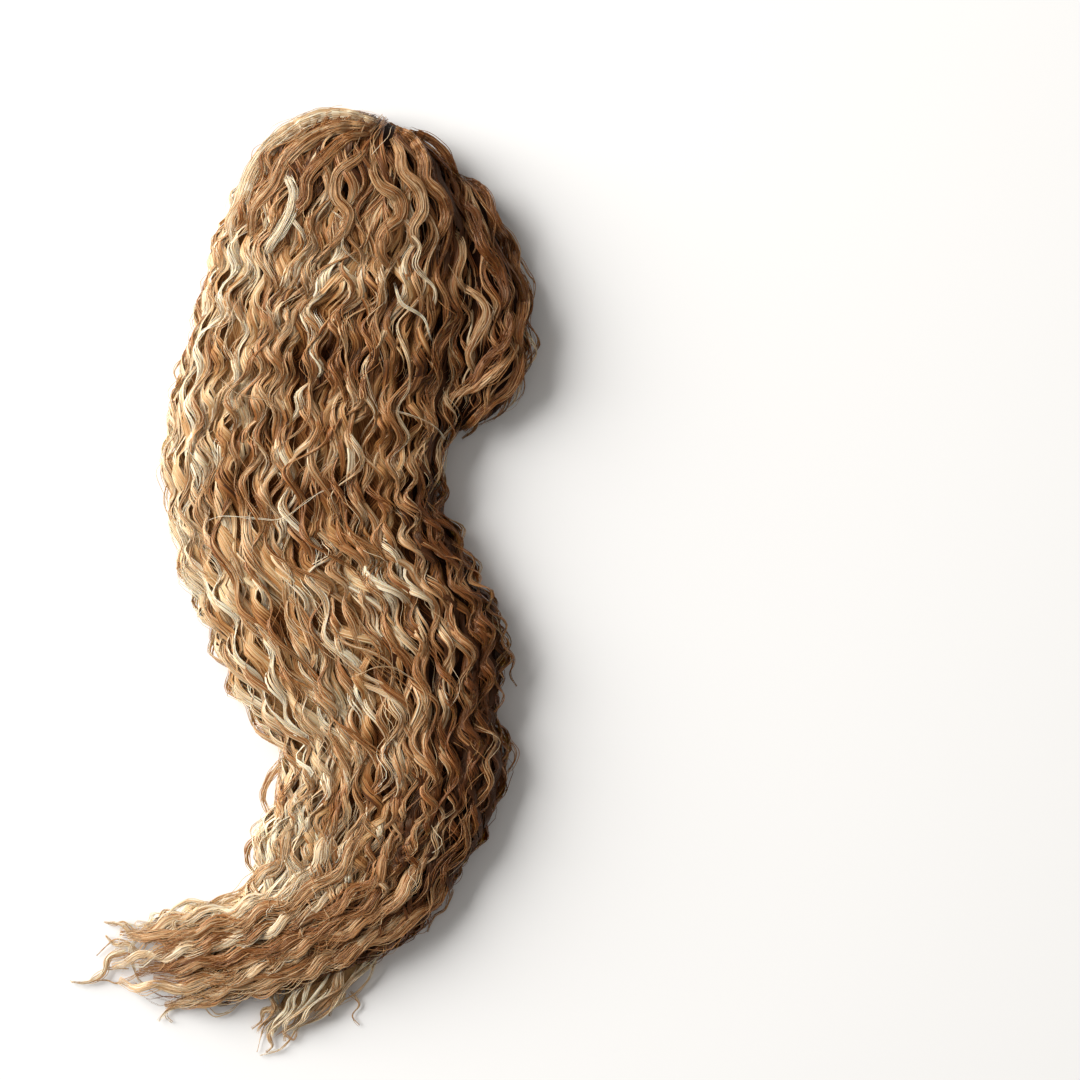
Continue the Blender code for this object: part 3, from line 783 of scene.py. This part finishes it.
def tube_bake_map(count, steps):
    """Bake map of tubes, in the order of tube_faces: every tube has a row of its own, with the
    distance along it from left to right, and its sides one above the other."""
    if count > MANY_TUBES:
        columns = 4
    elif count > SOME_TUBES:
        columns = 2
    else:
        columns = 1
    rows = -(-count // columns)
    row = (np.arange(count) % rows)[:, None, None]
    column = (np.arange(count) // rows)[:, None, None]
    i = np.arange(steps - 1)[None, :, None]
    c = np.arange(CORNERS)
    j = c[None, None, :]
    u_low = (column + 0.02 + 0.96 * i / (steps - 1)) / columns + 0 * j
    u_high = (column + 0.02 + 0.96 * (i + 1) / (steps - 1)) / columns + 0 * j
    v_low = (row + 0.1 + 0.8 * j / CORNERS) / rows + 0 * i
    v_high = (row + 0.1 + 0.8 * (j + 1) / CORNERS) / rows + 0 * i
    pairs = ((u_low, v_low), (u_low, v_high), (u_high, v_high), (u_high, v_low))
    quad_uv = np.stack([np.stack(pair, -1) for pair in pairs], axis=-2).reshape(-1, 2)
    cap_v = (row[:, :, 0] + 0.1 + 0.8 * c / CORNERS) / rows
    start_uv = np.stack([(column[:, :, 0] + 0.02) / columns + 0 * cap_v, cap_v[:, ::-1]], -1)
    end_uv = np.stack([(column[:, :, 0] + 0.98) / columns + 0 * cap_v, cap_v], -1)
    return np.concatenate([quad_uv, start_uv.reshape(-1, 2), end_uv.reshape(-1, 2)])


def put_hair_values(mesh, fibre, tone):
    """Store what the hair materials read: the place along and across the fibre, and the tone."""
    fibre_values = fibre.reshape(-1, 3).astype(np.float32).ravel()
    mesh.attributes.new("fibre", "FLOAT_VECTOR", "POINT").data.foreach_set("vector", fibre_values)
    tone_values = tone.reshape(-1).astype(np.float32)
    mesh.attributes.new("tone", "FLOAT", "POINT").data.foreach_set("value", tone_values)


def core_mesh(name, fall, depth, steps, corners, short, foot):
    """Inner body: the outer form sunk by a depth, closed by its flat foot and two ends. It
    sinks further over its last stretch and stops short of the tips. Its streaks are waved.
    The foot is the height of its underside: the lesser bodies' lies a little above the main
    one's, so that no two undersides share a plane."""
    total = fall["s"][-1]
    s = np.linspace(2, total - short, steps)[:, None] + np.zeros((1, corners))
    a = np.linspace(0, 1, corners)[None, :] + 0 * s
    height = read_table(fall, s)[4]
    sunk = depth + 0.3 * height * ease((s - total + 2.2 * short) / (1.2 * short))
    verts = skin(fall, s, a, np.minimum(sunk, 0.55 * height))
    verts[..., 2] = np.maximum(verts[..., 2], foot)
    index = np.arange(steps * corners).reshape(steps, corners)
    ring = np.concatenate([index, index[:, :1]], axis=1)
    quads = np.stack([ring[:-1, :-1], ring[:-1, 1:], ring[1:, 1:], ring[1:, :-1]], -1).reshape(-1, 4)
    faces = quads.tolist() + [index[0, ::-1].tolist(), index[-1].tolist()]
    mesh = bpy.data.meshes.new(name)
    mesh.from_pydata((verts.reshape(-1, 3) * MM).tolist(), [], faces)
    mesh.shade_smooth()
    waved = a * 260 + 4 * np.sin(wave_phase(fall, s, a))
    # The inner body takes the fall's change of tone more strongly, with its painted light and shade.
    tone = CORE_TONE + CORE_TONE_AND_SHADE_WEIGHT * tone_and_shade_shift(fall, s, a)
    if fall is main_form:
        # Painted shade of the bare place in the parting, where the dark net shows.
        across = np.exp(-((a - PARTING_SHARE) / PARTING_DARK_SHARE) ** 2)
        tone = tone - across * (1 - ease((s - PARTING_END) / PARTING_DARK_LENGTH))
    put_hair_values(mesh, np.stack([s, waved, 0 * s], -1), tone)
    return mesh


def route_points(route, steps):
    """Points evenly spaced along a smooth curve through a route."""
    curve = smooth_table(route, 10)
    reach = np.concatenate([[0], np.cumsum(np.linalg.norm(np.diff(curve, axis=0), axis=1))])
    even = np.linspace(0, reach[-1], steps)
    return np.stack([np.interp(even, reach, column) for column in curve.T], -1), reach[-1]


def route_members(routes, per_route, steps, seed, spread):
    """Members of loose locks: each follows its route, shifted by a share of the lock's radius
    that closes towards the tip, with a small ripple of its own."""
    random = np.random.default_rng(seed)
    paths = [route_points(route[0], steps) for route in routes]
    lines = np.stack([path[0] for path in paths])
    lengths = np.array([path[1] for path in paths])
    pick = np.repeat(np.arange(len(routes)), per_route)
    count = len(pick)
    t = np.linspace(0, 1, steps)[None, :]
    values = np.array([route[1:] for route in routes], float)[pick]
    height = values[:, 0:1] + (values[:, 1:2] - values[:, 0:1]) * t
    radius = values[:, 2:3] + (values[:, 3:4] - values[:, 2:3]) * t
    point = np.concatenate([lines[pick], height[..., None]], -1)
    up = np.zeros_like(point)
    up[..., 2] = 1
    flat, thick = frames_along(point, up)
    own = {"chance": random.uniform(0, TURN, (count, 4))}
    s = lengths[pick][:, None] * t
    close = 1 - 0.55 * ease(t)
    around = random.uniform(0, TURN, (count, 1))
    out = np.sqrt(random.uniform(0.02, 1, (count, 1))) * spread * radius * close
    shift = out * np.cos(around) + 0.6 * ripple(own, s, 0, 26)
    rise = out * np.sin(around) * 0.7 + 0.3 * ripple(own, s, 1, 22)
    point = point + flat * shift[..., None] + thick * rise[..., None]
    taper = 0.12 + 0.88 * ease(t / 0.1) * ease((1 - t) / 0.5)
    tone = values[:, 4:5] + random.normal(0, 0.08, (count, 1)) + 0.08 * ripple(own, s, 2, 40)
    return {"point": point, "up": thick, "radius": radius * taper, "taper": taper, "tone": tone, "s": s}


def rest_height(fall, plan):
    """Height of a fall's outer form under points in plan, read at the nearest grid point."""
    s = np.linspace(0, fall["s"][-1], 240)[:, None] + np.zeros((1, 80))
    a = np.linspace(0.08, 0.92, 80)[None, :] + 0 * s
    grid = skin(fall, s, a, 0).reshape(-1, 3)
    away = ((plan[:, None] - grid[None, :, :2]) ** 2).sum(-1)
    return grid[away.argmin(1), 2]


def overlaid_strands(fall, rows, steps, seed):
    """Strands over a fall: along a route, at the form's height plus a lift that both ends
    lose, side by side over a rounded lock, and swung sideways and up by a wave whose length
    and phase are each lock's own."""
    random = np.random.default_rng(seed)
    parts = []
    for route, strands, spread, lift, radius, swing, tone in rows:
        line, length = route_points(route, steps)
        t = np.linspace(0, 1, steps)
        held = ease(t / LAID_END_SHARE) * ease((1 - t) / LAID_END_SHARE)
        height = rest_height(fall, line) + (lift + LAID_END_DEPTH) * held - LAID_END_DEPTH
        point = np.broadcast_to(np.column_stack([line, height]), (strands, steps, 3))
        up = np.zeros_like(point)
        up[..., 2] = 1
        flat, thick = frames_along(point, up)
        s = length * np.broadcast_to(t, (strands, steps))
        own = {"chance": random.uniform(0, TURN, (strands, 4))}
        fan = 0.55 + 0.45 * np.sin(np.pi * t) + 0.25 * ripple(own, s, 2, 60)
        x = np.linspace(-1, 1, strands + 2)[1:-1, None] + random.uniform(-0.2, 0.2, (strands, 1))
        phase = TURN * s / (WAVE_LENGTH * random.uniform(0.85, 1.25)) + random.uniform(0, TURN)
        phase = phase + 0.25 * x + random.normal(0, 0.16, (strands, 1))
        swung = swing * held * (0.8 + 0.35 * np.sin(TURN * s / 90 + random.uniform(0, TURN)))
        shift = spread * x * fan + 0.5 * ripple(own, s, 0, 34) + swung * np.sin(phase)
        rise = 0.35 * spread * np.sqrt(np.maximum(1 - x ** 2, 0)) + 0.3 * ripple(own, s, 1, 40)
        rise = rise + 0.5 * swung * np.cos(phase)
        point = point + flat * shift[..., None] + thick * rise[..., None]
        parts.append({
            "point": point, "up": thick + flat * (0.6 * x)[..., None], "s": s,
            "radius": radius * np.maximum(0.3, held) * random.uniform(0.8, 1.2, (strands, 1)),
            "tone": tone + random.normal(0, 0.05, (strands, 1)) + 0 * s,
        })
    return {key: np.concatenate([part[key] for part in parts]) for key in parts[0]}


def add_piece(name, mesh, material, node_name=None):
    """Link a piece, give it its material and let it ride on the hairpiece."""
    piece = link_object(name, mesh)
    mesh.materials.append(material)
    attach(piece, "root")
    if node_name:
        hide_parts(node_name)
    return piece


def hair_material(name, stops, streaks, gloss, shine):
    """Synthetic hair, extruded as fine round fibre and heat set in waves.

    The fibre is a smooth nylon-like plastic, so a lock has a soft bright band across each
    crest, warm because part of it has passed through the fibre. Its colour comes from the
    tone of each lock, which also carries painted light and shade over the falls, and from
    thin streaks along the fibre. The streaks are about 0.5 mm wide, coarser than the real
    0.08 mm fibre, so that they show.
    """
    material, tree, shader = start_material(name)
    fibre = node(tree, "ShaderNodeAttribute", attribute_name="fibre")
    tone = node(tree, "ShaderNodeAttribute", attribute_name="tone")
    drawn = node(tree, "ShaderNodeMapping", {
        "Vector": fibre.outputs["Vector"], "Scale": (STREAK_DRAW, 1.0, 1.0)})
    streak = node(tree, "ShaderNodeTexNoise", {
        "Vector": drawn.outputs["Vector"], "Scale": 1.0, "Detail": 3.0, "Roughness": 0.7})
    spread = node(tree, "ShaderNodeMath", {
        0: streak.outputs["Fac"], 1: streaks, 2: -0.5 * streaks}, operation="MULTIPLY_ADD")
    mixed = node(tree, "ShaderNodeMath", {
        0: tone.outputs["Fac"], 1: spread.outputs["Value"]}, operation="ADD")
    ramp = node(tree, "ShaderNodeValToRGB", {"Fac": mixed.outputs["Value"]})
    elements = ramp.color_ramp.elements
    while len(elements) < len(stops):
        elements.new(0.5)
    for element, (position, colour) in zip(elements, stops):
        element.position = position
        element.color = linear(colour)
    tree.links.new(ramp.outputs["Color"], shader.inputs["Base Color"])
    grain = node(tree, "ShaderNodeMapping", {
        "Vector": fibre.outputs["Vector"], "Scale": (STREAK_DRAW, 0.9, 1.0)})
    ridges = node(tree, "ShaderNodeTexNoise", {
        "Vector": grain.outputs["Vector"], "Scale": 1.0, "Detail": 2.0, "Roughness": 0.65})
    bump = node(tree, "ShaderNodeBump", {
        "Height": ridges.outputs["Fac"], "Strength": 1.0, "Distance": 0.0012})
    tree.links.new(bump.outputs["Normal"], shader.inputs["Normal"])
    shader.inputs["Roughness"].default_value = gloss
    shader.inputs["Specular IOR Level"].default_value = shine
    shader.inputs["IOR"].default_value = 1.5
    shader.inputs["Specular Tint"].default_value = linear("#ffe6c8")
    shader.inputs["Subsurface Weight"].default_value = 0.3
    shader.inputs["Subsurface Radius"].default_value = (1.0, 0.6, 0.35)
    shader.inputs["Subsurface Scale"].default_value = 0.0015
    return material


def make_camera():
    """Camera straight above the middle of the photograph's frame."""
    data = bpy.data.cameras.new("camera")
    camera = link_object("camera", data)
    data.sensor_width = SENSOR_WIDTH
    data.lens = SENSOR_WIDTH * (CAMERA_HEIGHT - HALF_WAY_UP) / (PHOTO_SIDE * PIXEL)
    right = (PHOTO_SIDE / 2 - ORIGIN_PIXEL[0]) * PIXEL
    forward = (ORIGIN_PIXEL[1] - PHOTO_SIDE / 2) * PIXEL
    camera.location = (right * MM, forward * MM, CAMERA_HEIGHT * MM)
    bpy.context.scene.camera = camera


def area_light(name, location, target, size, watts, colour):
    """Square soft light that faces a point."""
    data = bpy.data.lights.new(name, "AREA")
    data.size = size
    data.energy = watts
    data.color = colour
    light = link_object(name, data)
    light.location = location
    light.rotation_euler = (Vector(target) - Vector(location)).to_track_quat("-Z", "Y").to_euler()


def make_stage():
    """Pale floor, soft window light from the left and a weak sky. This is in metres."""
    mesh = bpy.data.meshes.new("floor")
    mesh.from_pydata([(-4, -4, 0), (4, -4, 0), (4, 4, 0), (-4, 4, 0)], [], [(0, 1, 2, 3)])
    floor = link_object("floor", mesh)
    material, _, shader = start_material("white_board")
    shader.inputs["Base Color"].default_value = linear("#f4f4f4")
    shader.inputs["Roughness"].default_value = 0.9
    mesh.materials.append(material)
    area_light("window", location=(-3.9, 2.0, 2.7), target=(0.0, 0.0, 0.0), size=4.4, watts=560,
               colour=(1.0, 0.985, 0.96))
    world = bpy.data.worlds.new("sky")
    world.use_nodes = True
    background = world.node_tree.nodes["Background"]
    background.inputs["Color"].default_value = (1.0, 0.965, 0.92, 1.0)
    background.inputs["Strength"].default_value = 0.3
    bpy.context.scene.world = world
    bpy.context.scene.view_settings.view_transform = "Standard"


def make_cores(deep_hair):
    """Bodies inside the three falls, dark as painted shade deep in the hair."""
    for name, fall, depth, steps, corners, short, foot in (
        ("main_fall", main_form, 5.6, 150, 60, 50, 0.3),
        ("side_fall", side_form, 4, 44, 30, 6, 1.2),
        ("lower_tuft", tuft_form, 5, 24, 20, 26, 1.2),
    ):
        core = core_mesh(f"{name}_core", fall, depth, steps, corners, short, foot)
        piece = add_piece(f"{name}_core", core, deep_hair, name)
        if fall is main_form:
            hollow_out(piece)


def hollow_out(piece):
    """Cut the room of the net cap out of a piece."""
    cutter = link_object("cap_room", cap_room_mesh())
    cut = piece.modifiers.new("cap_room", "BOOLEAN")
    cut.operation = "DIFFERENCE"
    cut.solver = "EXACT"
    cut.object = cutter
    graph = bpy.context.evaluated_depsgraph_get()
    hollowed = bpy.data.meshes.new_from_object(piece.evaluated_get(graph))
    piece.modifiers.clear()
    piece.data = hollowed
    bpy.data.objects.remove(cutter)


def cap_room_mesh():
    """Turned dome around the cap: radius R sin t at height B + (H - B) cos t, then straight
    down past the floor."""
    turns = 48
    t = np.linspace(0.1, np.pi / 2, 12)
    room_height = CAP_HEIGHT + CAP_ROOM - BAND_HEIGHT
    radius = np.append((CAP_RADIUS + CAP_ROOM) * np.sin(t), CAP_RADIUS + CAP_ROOM)[:, None]
    height = np.append(BAND_HEIGHT + room_height * np.cos(t), -3)[:, None]
    angle = TURN * np.arange(turns) / turns
    verts = np.stack([
        CAP_X + radius * np.cos(angle), CAP_Y + radius * np.sin(angle), height + 0 * angle], -1)
    index = np.arange(verts.size // 3).reshape(-1, turns)
    after = np.roll(index, -1, axis=1)
    quads = np.stack([index[:-1], index[1:], after[1:], after[:-1]], -1).reshape(-1, 4)
    mesh = bpy.data.meshes.new("cap_room")
    faces = quads.tolist() + [index[0].tolist(), index[-1, ::-1].tolist()]
    mesh.from_pydata((verts.reshape(-1, 3) * MM).tolist(), [], faces)
    return mesh


def make_net_cords(net):
    """Cords of the net on the inner side of the cap's wall: each winds down the dome by an
    even twist, half of them one way and half the other, and is partly sunk in the wall."""
    count = 2 * CORDS_EACH_WAY
    t = np.linspace(0.08, 1, CORD_STEPS)[None, :]
    way = np.where(np.arange(count) < CORDS_EACH_WAY, 1, -1)[:, None]
    angle = TURN * np.arange(count)[:, None] / CORDS_EACH_WAY + way * CORD_TWIST * t
    tilt = np.pi / 2 * t + 0 * angle
    radius = CAP_RADIUS - NET_WALL - CORD_OFF_WALL
    dome_height = CAP_HEIGHT - NET_WALL - CORD_OFF_WALL - BAND_HEIGHT
    up = np.stack([np.sin(tilt) * np.cos(angle), np.sin(tilt) * np.sin(angle), np.cos(tilt)], -1)
    point = up * radius
    point[..., 2] = BAND_HEIGHT + dome_height * np.cos(tilt)
    point = point + (CAP_X, CAP_Y, 0)
    flat, thick = frames_along(point, up)
    size = np.full(tilt.shape, CORD_RADIUS)
    mesh = tube_mesh("net_cords", point, flat, thick, size, size, 0 * tilt, radius * tilt)
    add_piece("net_cords", mesh, net)


def knitted_net_material():
    """Stretch net, knitted from dark nylon yarn in small round cells.

    The yarn shows as raised edges between the cells, with a soft dull sheen, and the cells
    are darker. The cells are 1.8 mm, a little coarser than the real 1.2 mm, so that they show.
    """
    material, tree, shader = start_material("knitted_nylon_stretch_net")
    place = node(tree, "ShaderNodeTexCoord")
    cells = node(tree, "ShaderNodeTexVoronoi", {
        "Vector": place.outputs["Object"], "Scale": 550.0}, feature="DISTANCE_TO_EDGE")
    yarn = node(tree, "ShaderNodeMapRange", {
        "Value": cells.outputs["Distance"], "From Min": 0.05, "From Max": 0.28,
        "To Min": 1.0, "To Max": 0.0})
    ramp = node(tree, "ShaderNodeValToRGB", {"Fac": yarn.outputs["Result"]})
    ramp.color_ramp.elements[0].color = linear("#100b08")
    ramp.color_ramp.elements[1].color = linear("#3a2a20")
    tree.links.new(ramp.outputs["Color"], shader.inputs["Base Color"])
    bump = node(tree, "ShaderNodeBump", {
        "Height": yarn.outputs["Result"], "Strength": 0.9, "Distance": 0.0004})
    tree.links.new(bump.outputs["Normal"], shader.inputs["Normal"])
    shader.inputs["Roughness"].default_value = 0.75
    shader.inputs["IOR"].default_value = 1.53
    shader.inputs["Sheen Weight"].default_value = 0.25
    return material


def moulded_comb_material():
    """Dark polypropylene, injection moulded.

    The mould leaves a fine satin grain, with faint flow marks along the spine and slightly
    paler, worn-looking raised places.
    """
    material, tree, shader = start_material("moulded_polypropylene")
    place = node(tree, "ShaderNodeTexCoord")
    drawn = node(tree, "ShaderNodeMapping", {
        "Vector": place.outputs["Object"], "Scale": (90.0, 420.0, 420.0)})
    flow = node(tree, "ShaderNodeTexNoise", {
        "Vector": drawn.outputs["Vector"], "Scale": 1.0, "Detail": 3.0, "Roughness": 0.6})
    ramp = node(tree, "ShaderNodeValToRGB", {"Fac": flow.outputs["Fac"]})
    ramp.color_ramp.elements[0].color = linear("#1c130e")
    ramp.color_ramp.elements[1].color = linear("#3b2a20")
    tree.links.new(ramp.outputs["Color"], shader.inputs["Base Color"])
    gloss = node(tree, "ShaderNodeMapRange", {
        "Value": flow.outputs["Fac"], "From Min": 0.3, "From Max": 0.7,
        "To Min": 0.34, "To Max": 0.48})
    tree.links.new(gloss.outputs["Result"], shader.inputs["Roughness"])
    grain = node(tree, "ShaderNodeTexNoise", {
        "Vector": place.outputs["Object"], "Scale": 2500.0, "Detail": 2.0})
    bump = node(tree, "ShaderNodeBump", {
        "Height": grain.outputs["Fac"], "Strength": 0.35, "Distance": 0.0001})
    tree.links.new(bump.outputs["Normal"], shader.inputs["Normal"])
    shader.inputs["IOR"].default_value = 1.49
    return material


def finish_cap_and_comb():
    """Give the two carried-over nodes their materials and the cap its cords."""
    net = knitted_net_material()
    for name, material in (("base_net", net), ("comb", moulded_comb_material())):
        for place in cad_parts[name].material_slots:
            place.material = material
    make_net_cords(net)


def make_main_fall(deep_lock_hair, lock_hair):
    """Three layers of locks over the main fall and one in its tail, with strands on the upper
    two. The strands are kept in three pieces, by their share of the way over the fall."""
    # The deep locks have fewer pale tones and the darker underlayer colours, as painted shade of the hair's
    # depths.
    deep = plan_locks(main_form, count=72, seed=1, width=(12, 16), depth=(3.0, 4.6),
                      length=(0.32, 0.42), reach=(-0.3, 0.8), tones=(0.2, 0.75))
    middle = plan_locks(main_form, count=124, seed=2, width=(7, 10), depth=(1.0, 2.8),
                        length=(0.27, 0.36))
    top = plan_locks(main_form, count=112, seed=3, width=(3.5, 6.5), depth=(-1.3, 1.0),
                     length=(0.25, 0.34), swing=(3.0, 5.2), tones=(0.15, 0.9))
    tail = plan_locks(main_form, count=26, seed=4, width=(6, 10), depth=(1.0, 4.5),
                      length=(0.2, 0.32), swing=(2.0, 3.4), reach=(0.66, 0.82))
    for layer, locks, per_lock, steps, seed, material in (
        ("deep", deep, 3, 42, 11, deep_lock_hair),
        ("middle", middle, 4, 52, 12, lock_hair),
        ("top", top, 4, 60, 13, lock_hair),
        ("tail", tail, 3, 36, 14, lock_hair),
    ):
        name = f"main_fall_{layer}_locks"
        lay_strips(name, main_form, locks, per_lock, steps, seed, material, "main_fall")
    layers = [
        strand_paths(main_form, middle, per_lock=3, steps=48, seed=21, radius=0.29),
        strand_paths(main_form, top, per_lock=4, steps=48, seed=22, radius=0.3),
    ]
    strands = {key: np.concatenate([layer[key] for layer in layers]) for key in layers[0]}
    share = strands["a"][:, 0]
    for place, low, high in (("left", 0, 0.35), ("middle", 0.35, 0.65), ("right", 0.65, 1)):
        keep = (share >= low) & (share < high)
        chosen = {key: value[keep] for key, value in strands.items()}
        lay_strands(f"main_fall_{place}_strands", chosen, lock_hair, "main_fall")


def make_lesser_fall(name, fall, counts, steps, seed, lock_hair):
    """Two layers of locks and their strands over the side fall or the tuft."""
    under_count, over_count, strands_each = counts
    # The under locks have fewer pale tones, as painted shade under the over locks.
    under = plan_locks(fall, under_count, seed, width=(6, 10), depth=(2, 4.5), length=(0.5, 0.9),
                       tones=(0.2, 0.7))
    lay_strips(f"{name}_under_locks", fall, under, 2, steps, seed + 1, lock_hair, name)
    over = plan_locks(fall, over_count, seed + 2, width=(3.5, 6.5), depth=(-1, 2),
                      length=(0.5, 0.9), swing=(3.2, 5.2))
    lay_strips(f"{name}_locks", fall, over, 3, steps, seed + 3, lock_hair, name)
    strands = strand_paths(fall, over, strands_each, steps, seed + 4, radius=0.32)
    lay_strands(f"{name}_strands", strands, lock_hair, name)


def make_loose_hair(lock_hair):
    """Loose locks off the falls, fine wisps at the edges, locks laid along routes over the
    falls, and single strands over them.

    Single strands are 0.4 to 0.6 mm wide, coarser than the real 0.08 mm fibre, so that they
    show.
    """
    locks = route_members(LOOSE_LOCKS, per_route=3, steps=32, seed=41, spread=0.6)
    flat, thick = frames_along(locks["point"], locks["up"])
    width = 0.32 * locks["radius"]
    mesh = tube_mesh("loose_locks", locks["point"], flat, thick, width, 0.4 * width + 0.1,
                     locks["tone"], locks["s"], flat_top=True)
    add_piece("loose_locks", mesh, lock_hair, "main_fall")
    for name, routes, each, seed, spread in (
        ("loose_strands", LOOSE_LOCKS, 10, 42, 1.25),
        ("edge_wisps", WISPS, 5, 43, 1.6),
    ):
        strands = route_members(routes, each, 32, seed, spread)
        slender = 0.35 + 0.65 * strands["taper"]
        strands["radius"] = LOOSE_STRAND_RADIUS * slender + 0 * strands["s"]
        lay_strands(name, strands, lock_hair, "main_fall")
    for name, fall, rows, seed, node_name in (
        ("crown", main_form, CROWN_LOCKS, 47, "main_fall"),
        ("tail", main_form, TAIL_LOCKS, 49, "main_fall"),
        ("side", side_form, SIDE_LOCKS, 51, "side_fall"),
    ):
        laid = overlaid_strands(fall, rows, steps=42, seed=seed)
        flat, thick = frames_along(laid["point"], laid["up"])
        mesh = tube_mesh(f"{name}_locks", laid["point"], flat, thick, laid["radius"],
                         0.17 * laid["radius"] + 0.08, laid["tone"], laid["s"], flat_top=True)
        add_piece(f"{name}_locks", mesh, lock_hair, node_name)
        fine = [
            (route, LAID_STRANDS, 1.3 * spread, lift + 0.4, LAID_STRAND_RADIUS, swing, tone)
            for route, _, spread, lift, _, swing, tone in rows
        ]
        strands = overlaid_strands(fall, fine, steps=40, seed=seed)
        lay_strands(f"{name}_strands", strands, lock_hair, node_name)
    over = overlaid_strands(main_form, OVERLAID, steps=34, seed=44)
    lay_strands("overlaid_strands", over, lock_hair, "main_fall")
    for name, fall, count, seed in (
        ("main_fall", main_form, 70, 45),
        ("side_fall", side_form, 14, 46),
    ):
        plan = plan_locks(fall, count, seed, width=(3, 8), depth=(-3, -0.5), length=(0.08, 0.18),
                          stray=0.03)
        flyaways = strand_paths(fall, plan, 1, 24, seed + 10, radius=0.2, loose_share=1.0)
        lay_strands(f"{name}_flyaways", flyaways, lock_hair, name)


main_form = make_fall(MAIN_SECTIONS, 15, MAIN_TONE_AND_SHADE)
side_form = make_fall(SIDE_SECTIONS, 6, SIDE_TONE_AND_SHADE)
tuft_form = make_fall(TUFT_SECTIONS, 6, TUFT_TONE_AND_SHADE)

make_camera()
make_stage()

# Colours of the hair from its darkest tone to its palest. The shadowed colours of the inner
# bodies and the darker underlayer colours of the deep locks are painted shade of the hair's
# depths.
SHADOWED = ((0.0, "#251109"), (0.25, "#5a3116"), (0.5, "#8a592f"), (0.75, "#ac7e4e"), (1.0, "#c6a070"))
UNDERLAYER = ((0.0, "#3f1e0a"), (0.25, "#8b5426"), (0.5, "#b68551"), (0.75, "#d0a97c"), (1.0, "#e7cba2"))
COPPER_BLONDE = ((0.0, "#653513"), (0.25, "#a56a3a"), (0.5, "#c99d70"), (0.75, "#e5c6a0"), (1.0, "#feefce"))

shadowed_hair = hair_material(
    "shadowed_inner_hair", SHADOWED, streaks=2.0, gloss=0.75, shine=0.1)
underlayer_hair = hair_material(
    "waved_underlayer_hair", UNDERLAYER, streaks=2.3, gloss=0.42, shine=0.4)
waved_hair = hair_material(
    "waved_copper_blonde_hair", COPPER_BLONDE, streaks=2.2, gloss=0.34, shine=0.55)

finish_cap_and_comb()
make_cores(shadowed_hair)
make_main_fall(underlayer_hair, waved_hair)
make_lesser_fall(
    "side_fall", side_form, counts=(34, 34, 5), steps=40, seed=50, lock_hair=waved_hair)
make_lesser_fall(
    "lower_tuft", tuft_form, counts=(24, 22, 6), steps=28, seed=60, lock_hair=waved_hair)
make_loose_hair(waved_hair)
